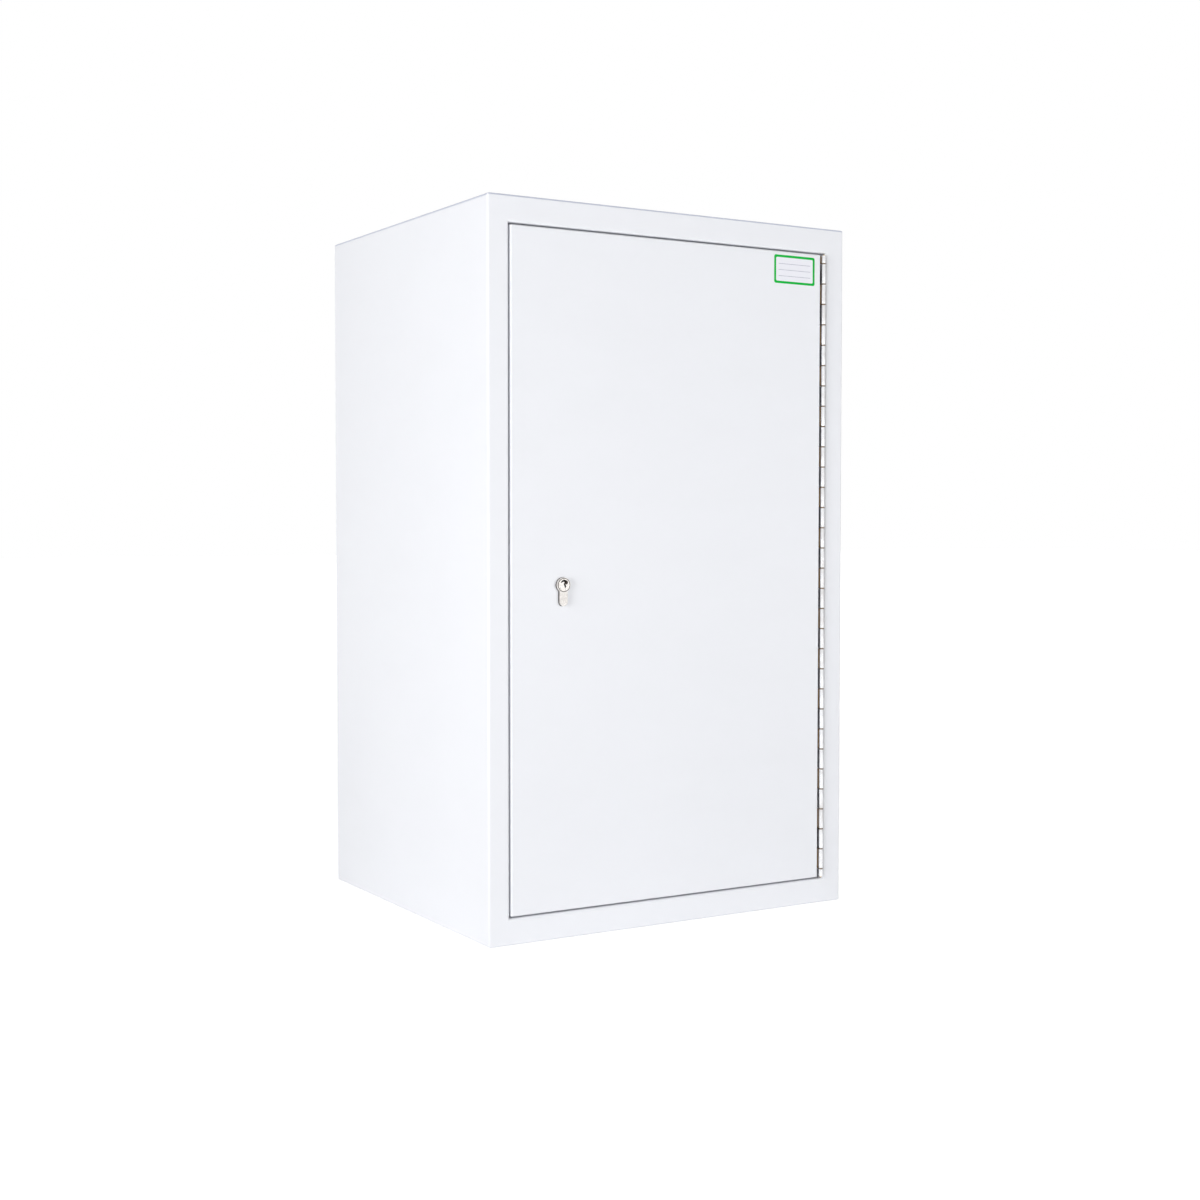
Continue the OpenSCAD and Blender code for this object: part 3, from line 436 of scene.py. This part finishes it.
# %% [markdown]
# Anything turned on a lathe is one outline spun about its axis: rivet heads, buffers, knuckles.
# The outline is a closed loop of points, each a radius and a height, and the bmesh spin operator
# carries it round. With use_merge the last copy closes on the first.


# %% Spin an outline about Z, and stand the result along an axis
def turned(mesh, outline, steps=32, place=Matrix.Identity(4)):
    ring = [mesh.verts.new((radius, 0, height)) for radius, height in outline]
    edges = [mesh.edges.new((a, b)) for a, b in zip(ring, ring[1:] + ring[:1])]
    before = set(mesh.verts) - set(ring)
    bmesh.ops.spin(
        mesh, geom=ring + edges, cent=(0, 0, 0), axis=(0, 0, 1), dvec=(0, 0, 0),
        angle=math.tau, steps=steps, use_merge=True, use_duplicate=False)
    fresh = [v for v in mesh.verts if v not in before]
    bmesh.ops.transform(mesh, matrix=place, verts=fresh)


def along(way, at):
    """A placement that turns Z to the given way and moves it to a point."""
    turn = Vector((0, 0, 1)).rotation_difference(Vector(way))
    return Matrix.Translation(at) @ turn.to_matrix().to_4x4()


# %% [markdown]
# The hinge is a piano hinge: two long strips whose edges are cut into fingers, and each finger is
# curled round one pin. The fingers of the two strips take turns, an inch apart. A curled finger has
# slightly rounded ends, which is what makes each joint line readable, so every knuckle here is a
# spun ring with small chamfers, its neck is a flat outline pulled up, and the leaf is a bar with
# bevelled edges. One knuckle could be repeated by a modifier, but the end knuckles differ in
# length, and a loop gives each its own.

# %% Read the hinge's sizes from the frame
leaf_box = {side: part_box(f"hinge_{side}_leaf") for side in ("frame", "door")}
hinge_bottom = leaf_box["frame"][0].z
hinge_top = leaf_box["frame"][1].z
pin_low, pin_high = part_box("hinge_pin")
pin_radius = (pin_high.x - pin_low.x) / 2
axis_x = (pin_low.x + pin_high.x) / 2
axis_y = (pin_low.y + pin_high.y) / 2
knuckle_outer = axis_y - leaf_box["frame"][0].y
play = 0.05 * MM
knuckle_bore = pin_radius + play
knuckle_pitch = INCH
knuckle_gap = 0.3 * MM
knuckle_joints = math.floor((hinge_top - hinge_bottom) / knuckle_pitch + 0.5)
end_knuckle = (hinge_top - hinge_bottom - (knuckle_joints - 1) * knuckle_pitch) / 2
print("hinge:", knuckle_joints + 1, "knuckles of radius", round(knuckle_outer / MM, 2), "mm")


# %% A straight bar between two corners, with its long edges bevelled
def bar(mesh, low, high, width):
    made = bmesh.ops.create_cube(mesh, size=1.0)["verts"]
    low, high = Vector(low), Vector(high)
    size = high - low
    bmesh.ops.scale(mesh, vec=size, verts=made)
    bmesh.ops.translate(mesh, vec=(low + high) / 2, verts=made)
    edges = list({e for v in made for e in v.link_edges})
    bmesh.ops.bevel(
        mesh, geom=edges, offset=width, offset_type="OFFSET", segments=2, profile=0.5,
        affect="EDGES", material=-1)


# %% One strip of the hinge: every second knuckle from the first, their necks, and the leaf
def hinge_strip(side, first, toward, body):
    mesh = bmesh.new()
    ease = 0.25 * MM
    outer_x = leaf_box[side][1].x if toward > 0 else leaf_box[side][0].x
    leaf_back = leaf_box[side][1].y
    leaf_t = knuckle_outer - knuckle_bore
    leaf_front = axis_y + 5 * MM
    inner_x = outer_x - toward * leaf_t
    neck_angle = math.radians(55)
    side_step, back_step = toward * math.cos(neck_angle), math.sin(neck_angle)
    neck = [
        (axis_x + side_step * knuckle_bore, axis_y + back_step * knuckle_bore),
        (axis_x + side_step * knuckle_outer, axis_y + back_step * knuckle_outer),
        (outer_x, leaf_front), (inner_x, leaf_front),
        (axis_x, axis_y + knuckle_outer), (axis_x, axis_y + knuckle_bore)]
    for k in range(first, knuckle_joints + 1, 2):
        top = hinge_bottom + end_knuckle + k * knuckle_pitch
        low = max(hinge_bottom, top - knuckle_pitch + knuckle_gap / 2)
        high = min(hinge_top, top - knuckle_gap / 2)
        outline = [
            (knuckle_bore, low), (knuckle_outer - ease, low),
            (knuckle_outer - ease * 0.3, low + ease * 0.3), (knuckle_outer, low + ease),
            (knuckle_outer, high - ease), (knuckle_outer - ease * 0.3, high - ease * 0.3),
            (knuckle_outer - ease, high), (knuckle_bore, high)]
        turned(mesh, outline, 36, Matrix.Translation((axis_x, axis_y, 0)))
        face = mesh.faces.new([mesh.verts.new((x, y, low + ease)) for x, y in neck])
        raised = bmesh.ops.extrude_face_region(mesh, geom=[face])["geom"]
        verts = [g for g in raised if isinstance(g, bmesh.types.BMVert)]
        bmesh.ops.translate(mesh, vec=(0, 0, high - low - 2 * ease), verts=verts)
    bar(mesh, (min(outer_x, inner_x), leaf_front, hinge_bottom),
        (max(outer_x, inner_x), leaf_back, hinge_top), 0.2 * MM)
    piece(f"hinge_strip_{side}", mesh, "hinge_steel", body, "bright_steel", f"hinge_{side}_leaf")


hinge_strip("frame", 0, 1, "cabinet")
hinge_strip("door", 1, -1, "door")

# %% [markdown]
# The rivets are blind rivets: a low dome on the side they were set from, and a swollen tail behind
# the sheet. A scaled sphere could pass for the dome, but not for the flat rim under it, so each is
# one outline spun about its own axis, from the dome to the tail. They are 100 mm apart.


# %% Rivets along each strip of the hinge
def rivet_row(side, toward, body):
    low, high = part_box(f"hinge_{side}_rivets")
    head_r = (high.y - low.y) / 2
    shank_r = 2 * MM
    head_h = 1.1 * MM
    row = high.z - low.z - 2 * head_r
    rivet_pitch = 100 * MM
    count = round(row / rivet_pitch) + 1
    length = high.x - low.x
    outline = [
        (0, 0), (head_r * 0.45, 0.05 * head_h), (head_r * 0.8, 0.4 * head_h),
        (head_r, 0.85 * head_h), (head_r, head_h), (shank_r, head_h), (shank_r, length - head_h),
        (head_r * 0.85, length - head_h * 0.9), (head_r * 0.9, length - head_h * 0.4),
        (head_r * 0.5, length), (0, length)]
    mesh = bmesh.new()
    start_x = low.x if toward > 0 else high.x
    for i in range(count):
        z = low.z + head_r + i * row / (count - 1)
        turned(mesh, outline, 20, along((toward, 0, 0), (start_x, (low.y + high.y) / 2, z)))
    piece(f"rivets_{side}", mesh, "zinc_plate", body, "zinc_plate", f"hinge_{side}_rivets")


rivet_row("frame", 1, "cabinet")
rivet_row("door", -1, "door")

# %% [markdown]
# The lock is a profile cylinder: a round head with a straight body below it, milled from brass bar
# and nickel plated. Its face stands out of the door by a few millimetres. The outline is an arc, a
# straight side and an arc again, so it is drawn with angles, filled as one face and pulled back
# along Y. A cylinder and a block could be joined instead, but their seam would show in the face.
# The front rim gets a small bevel, because that rim carries the highlight.


# %% A flat outline in X and Z becomes a solid from one depth to another
def pulled(mesh, outline, y0, y1, rim=0.0):
    face = mesh.faces.new([mesh.verts.new((x, y0, z)) for x, z in outline])
    front = list(face.edges)
    grown = bmesh.ops.extrude_face_region(mesh, geom=[face], use_keep_orig=True)["geom"]
    verts = [g for g in grown if isinstance(g, bmesh.types.BMVert)]
    bmesh.ops.translate(mesh, vec=(0, y1 - y0, 0), verts=verts)
    bmesh.ops.recalc_face_normals(mesh, faces=mesh.faces)
    if rim:
        bmesh.ops.bevel(
            mesh, geom=front, offset=rim, offset_type="OFFSET", segments=1, profile=0.5,
            affect="EDGES", material=-1, clamp_overlap=True)


def arc(cx, cz, radius, start, end, steps):
    """Points on an arc in degrees, the first and the last included."""
    angles = [math.radians(start + (end - start) * i / steps) for i in range(steps + 1)]
    return [(cx + radius * math.cos(a), cz + radius * math.sin(a)) for a in angles]


# %% Cut one solid from another, and keep the result as plain mesh
def cut_away(made, cutters):
    for cutter in cutters:
        data = bpy.data.meshes.new("cutter")
        bmesh.ops.recalc_face_normals(cutter, faces=cutter.faces)
        cutter.to_mesh(data)
        cutter.free()
        tool = bpy.data.objects.new("cutter", data)
        bpy.context.scene.collection.objects.link(tool)
        step = made.modifiers.new("cut", "BOOLEAN")
        step.operation = "DIFFERENCE"
        step.solver = "EXACT"
        step.object = tool
        bpy.context.view_layer.update()
        worked_out = made.evaluated_get(bpy.context.evaluated_depsgraph_get())
        result = bpy.data.meshes.new_from_object(worked_out)
        made.modifiers.remove(step)
        made.data = result
        bpy.data.objects.remove(tool)
    made.data.set_sharp_from_angle(angle=math.radians(35))
    print(f"{made.name}: {len(made.data.polygons)} faces after", len(cutters), "cuts")


# %% The cylinder's sizes, read from the frame
body_low, body_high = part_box("cylinder_body")
plug_low, plug_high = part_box("cylinder_plug")
head_radius = (body_high.x - body_low.x) / 2
waist = 5 * MM
lock_x = (body_low.x + body_high.x) / 2
lock_z = body_high.z - head_radius
foot_z = body_low.z + waist
face_y = body_low.y
shoulder = math.degrees(math.asin(waist / head_radius))
print("cylinder: axis at x", round(lock_x, 4), "z", round(lock_z, 4), "face at y", round(face_y, 4))

# %% The cylinder body, with its plug bore and the slot that the cam turns in
mesh = bmesh.new()
profile = arc(lock_x, lock_z, head_radius, -90 + shoulder, 270 - shoulder, 56)
profile += arc(lock_x, foot_z, waist, 180, 360, 20)
pulled(mesh, profile, body_low.y, body_high.y, 0.2 * MM)
cylinder_piece = piece(
    "lock_cylinder", mesh, "satin_nickel", "door", "satin_nickel", "cylinder_body")
flange_radius = (plug_high.x - plug_low.x) / 2
plug_radius = 6.5 * MM
before = MM
seat = before + MM + play
groove = flange_radius + 0.3 * MM
bore_end = 31 * MM
bore = bmesh.new()
turned(
    bore,
    [(0, 0), (groove, 0), (groove, before), (flange_radius + play, before + 0.25 * MM),
     (flange_radius + play, seat), (plug_radius + play, seat), (plug_radius + play, bore_end),
     (0, bore_end)],
    64, along((0, 1, 0), (lock_x, face_y - before, lock_z)))
cam_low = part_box("cylinder_cam")[0]
slot_radius = lock_z - cam_low.z + 0.5 * MM
slot_width = 10 * MM
slot = bmesh.new()
turned(slot, [(0, 0), (slot_radius, 0), (slot_radius, slot_width), (0, slot_width)], 64,
       along((0, 1, 0), (lock_x, cam_low.y - 0.2 * MM, lock_z)))
cut_away(cylinder_piece, [bore, slot])

# %% [markdown]
# The plug turns in the cylinder and carries the keyway. Its front is a flange that lies in the
# cylinder's face, and the seam between the two shows as a dark ring. A keyway isn't a plain slot:
# the milling cutters leave ribs, so that only a key of the same section goes in. This one has an
# arm to the left, a lobe to the right and a short foot, with a fine line below it. A dark shape
# painted on the face would stay flat in a slanting view, so the keyway is a real cut. Its points
# are millimetres to the right of the lock's axis and above it.

# %% The plug with its flange, a keyway and a small dimple
mesh = bmesh.new()
plug_back = face_y + 24.5 * MM
rim = 0.4 * MM
flange_back = face_y + MM - plug_low.y
plug_length = plug_back - plug_low.y
tail_length = plug_high.y - plug_low.y
tail_radius = 4 * MM
turned(
    mesh,
    [(0, 0), (flange_radius - rim, 0), (flange_radius, rim), (flange_radius, flange_back),
     (plug_radius, flange_back), (plug_radius, plug_length), (tail_radius, plug_length),
     (tail_radius, tail_length), (0, tail_length)],
    64, along((0, 1, 0), (lock_x, plug_low.y, lock_z)))
plug_piece = piece("lock_plug", mesh, "satin_nickel", "plug", "satin_nickel", "cylinder_plug")
foot = [(1.2, -3.3), (2.0, -3.2), (2.6, -1.6), (2.2, -0.3), (1.6, 0.9), (1.9, 2.2), (2.9, 3.0)]
crown = [(3.1, 4.2), (2.6, 5.4), (0.9, 6.1), (-1.0, 6.0), (-3.1, 4.8), (-4.3, 3.1)]
arm = [(-3.6, 2.4), (-2.3, 3.2), (-0.6, 4.0), (0.4, 3.6), (0.5, 2.6)]
neck_side = [(-0.4, 1.9), (-0.4, 0.6), (0.3, -0.6), (0.7, -2.2)]
lobe = [(1.5, 0.6), (3.9, 0.7), (4.8, 2.1), (5.0, 3.4), (4.3, 4.6), (2.6, 5.6), (1.0, 4.0)]


def at_lock(points):
    return [(lock_x + x * MM, lock_z + z * MM) for x, z in points]


key_cut = bmesh.new()
pulled(key_cut, at_lock(foot + crown + arm + neck_side), face_y - 2 * MM, plug_back - 2 * MM)
lobe_cut = bmesh.new()
pulled(lobe_cut, at_lock(lobe), face_y - 2 * MM, face_y + 0.6 * MM)
dimple = bmesh.new()
turned(dimple, [(0, 0), (0.6 * MM, 0), (0.6 * MM, 0.5 * MM), (0, 1.1 * MM)], 16,
       along((0, 1, 0), (lock_x - 4.9 * MM, plug_low.y - 0.2 * MM, lock_z - 3.5 * MM)))
fine_line = bmesh.new()
bar(fine_line, (lock_x + 1.35 * MM, face_y - 2 * MM, lock_z - 9 * MM),
    (lock_x + 1.6 * MM, plug_low.y + 0.3 * MM, lock_z - 3 * MM), 0.02 * MM)
cut_away(plug_piece, [key_cut, lobe_cut, dimple, fine_line])

# %% [markdown]
# The lock case is held by four pan-head screws with a cross recess. Each head is a spun dome, and
# the recess is cut by two crossed bars, since a dark cross on the head would not catch the light.
# The screws sit behind the door and show when it is open.

# %% Case screws with cross recesses
screw_low, screw_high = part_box("lock_case_screws")
case_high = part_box("lock_case_cover")[1]
head_r = 3.75 * MM
head_h = screw_high.y - case_high.y
shank_r = 2 * MM
mesh = bmesh.new()
cross = bmesh.new()
screw_length = screw_high.y - screw_low.y
screw_outline = [
    (0, 0), (head_r * 0.45, 0.06 * head_h), (head_r * 0.8, 0.3 * head_h),
    (head_r * 0.97, 0.65 * head_h), (head_r, head_h), (shank_r, head_h), (shank_r, screw_length),
    (0, screw_length)]
for x in (screw_low.x + head_r, screw_high.x - head_r):
    for z in (screw_low.z + head_r, screw_high.z - head_r):
        turned(mesh, screw_outline, 24, along((0, -1, 0), (x, screw_high.y, z)))
        for turn in (0, 90):
            wedge = bmesh.ops.create_cube(cross, size=1.0)["verts"]
            bmesh.ops.scale(cross, vec=(3.4 * MM, 3 * MM, 0.8 * MM), verts=wedge)
            turning = Matrix.Rotation(math.radians(45 + turn), 4, "Y")
            bmesh.ops.transform(
                cross, matrix=Matrix.Translation((x, screw_high.y, z)) @ turning, verts=wedge)
screws_piece = piece(
    "case_screws", mesh, "bright_steel", "door", "bright_steel", "lock_case_screws")
cut_away(screws_piece, [cross])

# %% [markdown]
# The buffers are small rubber discs with rounded rims, stuck to the stop strips. The door meets
# them before it meets the steel, which makes it shut quietly. A bevelled disc would do as well, but
# a spun outline gives the soft moulded rim with fewer faces.

# %% Rubber buffers on the stop strips
buffer_low, buffer_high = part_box("rubber_buffers")
door_low, door_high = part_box("door_outer_skin")
buffer_r = 4.5 * MM
buffer_t = buffer_high.y - buffer_low.y
buffer_outline = [
    (0, 0), (buffer_r, 0), (buffer_r, buffer_t * 0.55), (buffer_r - 0.15 * MM, buffer_t * 0.85),
    (buffer_r - 0.5 * MM, buffer_t), (0, buffer_t)]
side_x = buffer_low.x + buffer_r
flat_x = buffer_high.x - buffer_r
inset = 80 * MM
places = [
    (side_x, door_low.z + inset), (side_x, door_high.z - inset),
    (flat_x, buffer_low.z + buffer_r), (flat_x, buffer_high.z - buffer_r)]
mesh = bmesh.new()
for x, z in places:
    turned(mesh, buffer_outline, 28, along((0, -1, 0), (x, buffer_high.y, z)))
piece("buffers", mesh, "buffer_rubber", "cabinet", "buffer_rubber", "rubber_buffers")

# %% [markdown]
# The label is a piece of printed film near the top hinge corner. The film is a thin round-cornered
# plate. The border is ink on its face: the same outline inset twice, a ring about 3 mm wide. The
# field holds three fine rules to write on, and no words. A picture on one face would be simpler,
# but it turns soft when the view comes close, and thin shapes stay sharp.

# %% The label's film
label_low, label_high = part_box("door_label")
corner = 3 * MM
ink_room = (label_high.y - label_low.y) * 0.35
film_face = label_low.y + ink_room


def rounded(low_x, low_z, high_x, high_z, radius):
    """A rectangle with round corners, as points in X and Z."""
    points = arc(high_x - radius, high_z - radius, radius, 0, 90, 8)
    points += arc(low_x + radius, high_z - radius, radius, 90, 180, 8)
    points += arc(low_x + radius, low_z + radius, radius, 180, 270, 8)
    points += arc(high_x - radius, low_z + radius, radius, 270, 360, 8)
    return points


mesh = bmesh.new()
pulled(mesh, rounded(label_low.x, label_low.z, label_high.x, label_high.z, corner),
       film_face, label_high.y, 0.03 * MM)
piece("label_film", mesh, "label_vinyl", "door", "label_vinyl", "door_label")

# %% The border and the rules are ink, a few hundredths of a millimetre proud of the film
ink_back = film_face - 0.01 * MM
ink_front = film_face - 0.05 * MM


def label_outline(margin, radius):
    return rounded(
        label_low.x + margin, label_low.z + margin,
        label_high.x - margin, label_high.z - margin, radius)


margin = 0.3 * MM
band = 2.9 * MM
mesh = bmesh.new()
rings = []
for outline in (
        label_outline(margin, corner - margin),
        label_outline(margin + band, corner - margin - 0.9 * MM)):
    loop = [mesh.verts.new((x, ink_front, z)) for x, z in outline]
    rings.append([mesh.edges.new((a, b)) for a, b in zip(loop, loop[1:] + loop[:1])])
bmesh.ops.bridge_loops(mesh, edges=rings[0] + rings[1])
bmesh.ops.solidify(mesh, geom=mesh.faces, thickness=ink_back - ink_front)
piece("label_border", mesh, "label_green", "door", "label_vinyl")
mesh = bmesh.new()
rule_start = label_low.x + 7 * MM
rule_end = label_high.x - 7 * MM
half_rule = 0.2 * MM
for height in (0.27, 0.48, 0.69):
    z = label_low.z + height * (label_high.z - label_low.z)
    bar(mesh, (rule_start, ink_front, z - half_rule), (rule_end, ink_back, z + half_rule),
        0.01 * MM)
piece("label_rules", mesh, "label_grey", "door", "label_vinyl")

# %% [markdown]
# The camera stands left of the cabinet, a little over half way up, and looks slightly down. It
# could be moved about until the picture looks right, but its place was worked out from the
# cabinet's corners, which is exact. The table that is printed says where the model's corners fall
# in a picture of 1200 pixels.

# %% Camera
picture = 1200
focal_pixels = 1777.94
centre_right, centre_up = 55, 11
camera_at = Vector((-1.14539, -2.01523, 0.4862))
yaw, pitch, roll = (math.radians(a) for a in (31.9487, -2.2486, 0.0999))
camera_data = bpy.data.cameras.new("camera")
camera_data.sensor_width = 36
camera_data.lens = focal_pixels / picture * camera_data.sensor_width
camera_data.shift_x = -centre_right / picture
camera_data.shift_y = -centre_up / picture
camera_data.clip_start = 0.01
camera_data.clip_end = 60
camera = bpy.data.objects.new("camera", camera_data)
bpy.context.scene.collection.objects.link(camera)
turn = Euler((math.pi / 2 + pitch, 0, -yaw), "XYZ").to_matrix() @ Matrix.Rotation(roll, 3, "Z")
camera.matrix_world = Matrix.Translation(camera_at) @ turn.to_4x4()
bpy.context.scene.camera = camera


def pixel(point):
    """Where a point falls in the 1200 pixel picture."""
    local = camera.matrix_world.inverted() @ Vector(point)
    scale = focal_pixels / -local.z
    across = picture / 2 + centre_right + local.x * scale
    return round(across, 1), round(picture / 2 - centre_up - local.y * scale, 1)


low, high = (Vector(c) for c in cad_box)
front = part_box("left_side_panel")[0].y
for name, point in (
        ("near top", (low.x, front, high.z)), ("near bottom", (low.x, front, low.z)),
        ("right top", (high.x, front, high.z)), ("right bottom", (high.x, front, low.z)),
        ("left top", (low.x, high.y, high.z)), ("left bottom", (low.x, high.y, low.z))):
    print("corner", name, pixel(point))

# %% [markdown]
# The studio is white all round: a pale floor, a white surround and soft lamps in front and on the
# left. A white object on white is drawn by very small steps of grey, so most of the light comes
# evenly from all round, and the left lamp adds the slope of light over the side panel. Two more
# lamps, behind and above, light only the cabinet, so that its back and top are nearly as white as
# its front and the floor stays as it is. The floor glows a little for the camera and for
# reflections, so that it reads as white and still keeps the cabinet's soft shadow.

# %% Floor
floor_half = 20
mesh = bmesh.new()
bmesh.ops.create_grid(mesh, x_segments=1, y_segments=1, size=floor_half)
bmesh.ops.translate(mesh, vec=(0, 0, low.z), verts=mesh.verts)
floor_data = bpy.data.meshes.new("floor")
mesh.to_mesh(floor_data)
mesh.free()
floor = bpy.data.objects.new("floor", floor_data)
bpy.context.scene.collection.objects.link(floor)
print("floor at z", round(low.z, 4))


# %% A mask that is 1 for what the camera sees, also in a mirror or through glass
def seen_by_eye(finish):
    seen = finish.node("ShaderNodeLightPath", out="Is Camera Ray")
    for ray in ("Is Glossy Ray", "Is Transmission Ray"):
        seen = greater(finish, seen, finish.node("ShaderNodeLightPath", out=ray))
    return seen


# %% The floor's finish: matt white paint with a glow of its own
floor_glow = 0.62
white = Finish("floor_white")
white.set(Base_Color=(0.9, 0.9, 0.9), Roughness=0.9)
paint = Wire(white, white.surface.outputs[0])
both = white.node(
    "ShaderNodeAddShader", None, {0: paint, 1: white.glow(seen_by_eye(white) * floor_glow)})
white.close(both)
floor_data.materials.append(white.owner)

# %% White surround: 1 for the camera and for reflections, a plain level for the light itself
surround_light = 0.50
bpy.context.scene.world = bpy.data.worlds.new("studio")
sky = Finish("studio", bpy.context.scene.world)
sky.set(Color=(1, 1, 1), Strength=sky.ease(seen_by_eye(sky), 0, 1, surround_light, 1))
print("surround light:", surround_light, "of white")


# %% Soft lamps
def soft_lamp(name, at, aim, size, power):
    data = bpy.data.lights.new(name, "AREA")
    data.shape = "RECTANGLE"
    data.size, data.size_y = size
    data.energy = power
    lamp = bpy.data.objects.new(name, data)
    bpy.context.scene.collection.objects.link(lamp)
    lamp.location = at
    lamp.rotation_euler = (Vector(aim) - Vector(at)).to_track_quat("-Z", "Y").to_euler()
    lamp.visible_glossy = False
    return lamp


middle = (0, 0, (low.z + high.z) / 2)
over = (0.15, 0.15)
soft_lamp("left_lamp", (-2.4, -0.95, 0.56), middle, (1.0, 1.1), 33)
soft_lamp("front_lamp", (1.3, -3.8, 0.5), middle, (3.4, 0.96), 60)
back_lamp = soft_lamp("back_lamp", (1.3, 1.6, 1.9), middle, (1.4, 1.0), 42)
top_lamp = soft_lamp("top_lamp", (*over, 1.95), (*over, 0), (0.66, 0.66), 8)
cabinet = bpy.data.collections.new("cabinet")
for made in bpy.context.scene.objects:
    if made.type == "MESH" and made is not floor:
        cabinet.objects.link(made)
for lamp in (back_lamp, top_lamp):
    lamp.light_linking.receiver_collection = cabinet
    lamp.visible_camera = False


# %% [markdown]
# Bright metal shows what stands round it. In an all white room it would look flat, so two grey
# cards give it something to reflect, and they neither cast nor stop any other light. A black sheet
# overhead does the opposite: reflections don't show it, but it takes light from the top edges, as a
# dark ceiling does.


# %% A flat sheet that stands in the studio
def sheet(name, width, turn, at):
    mesh = bmesh.new()
    bmesh.ops.create_grid(mesh, x_segments=1, y_segments=1, size=width / 2)
    bmesh.ops.transform(mesh, matrix=Matrix.Translation(at) @ turn, verts=mesh.verts)
    data = bpy.data.meshes.new(name)
    mesh.to_mesh(data)
    mesh.free()
    made = bpy.data.objects.new(name, data)
    bpy.context.scene.collection.objects.link(made)
    made.visible_camera = False
    return made


# %% Grey cards on the right and behind, which only reflections see
def card(name, width, turn, at, level):
    upright = Matrix.Rotation(math.radians(turn), 4, "Z") @ Matrix.Rotation(math.pi / 2, 4, "X")
    made = sheet(name, width, upright, at)
    grey = Finish(name)
    grey.close(grey.glow(level))
    made.data.materials.append(grey.owner)
    made.visible_diffuse = False
    made.visible_shadow = False


card("right_card", 2.4, 75, (2.05, -0.72, 0.6), 0.62)
card("back_card", 3.0, 148, (1.8, 2.7, 2.3), 0.25)

# %% A black sheet overhead, which takes light from the top edges
overhead = sheet("overhead", 3.0, Matrix.Identity(4), (0, -0.3, 2.1))
black = Finish("overhead_black")
black.set(Base_Color=(0.01, 0.01, 0.01), Roughness=0.9)
overhead.data.materials.append(black.owner)
overhead.visible_glossy = False
print("studio:", ", ".join(o.name for o in (floor, overhead)), "and two cards")

# %% [markdown]
# With the Standard view a colour is shown as it was written, which suits a plain product picture.

# %% Colours as they are written
bpy.context.scene.view_settings.view_transform = "Standard"
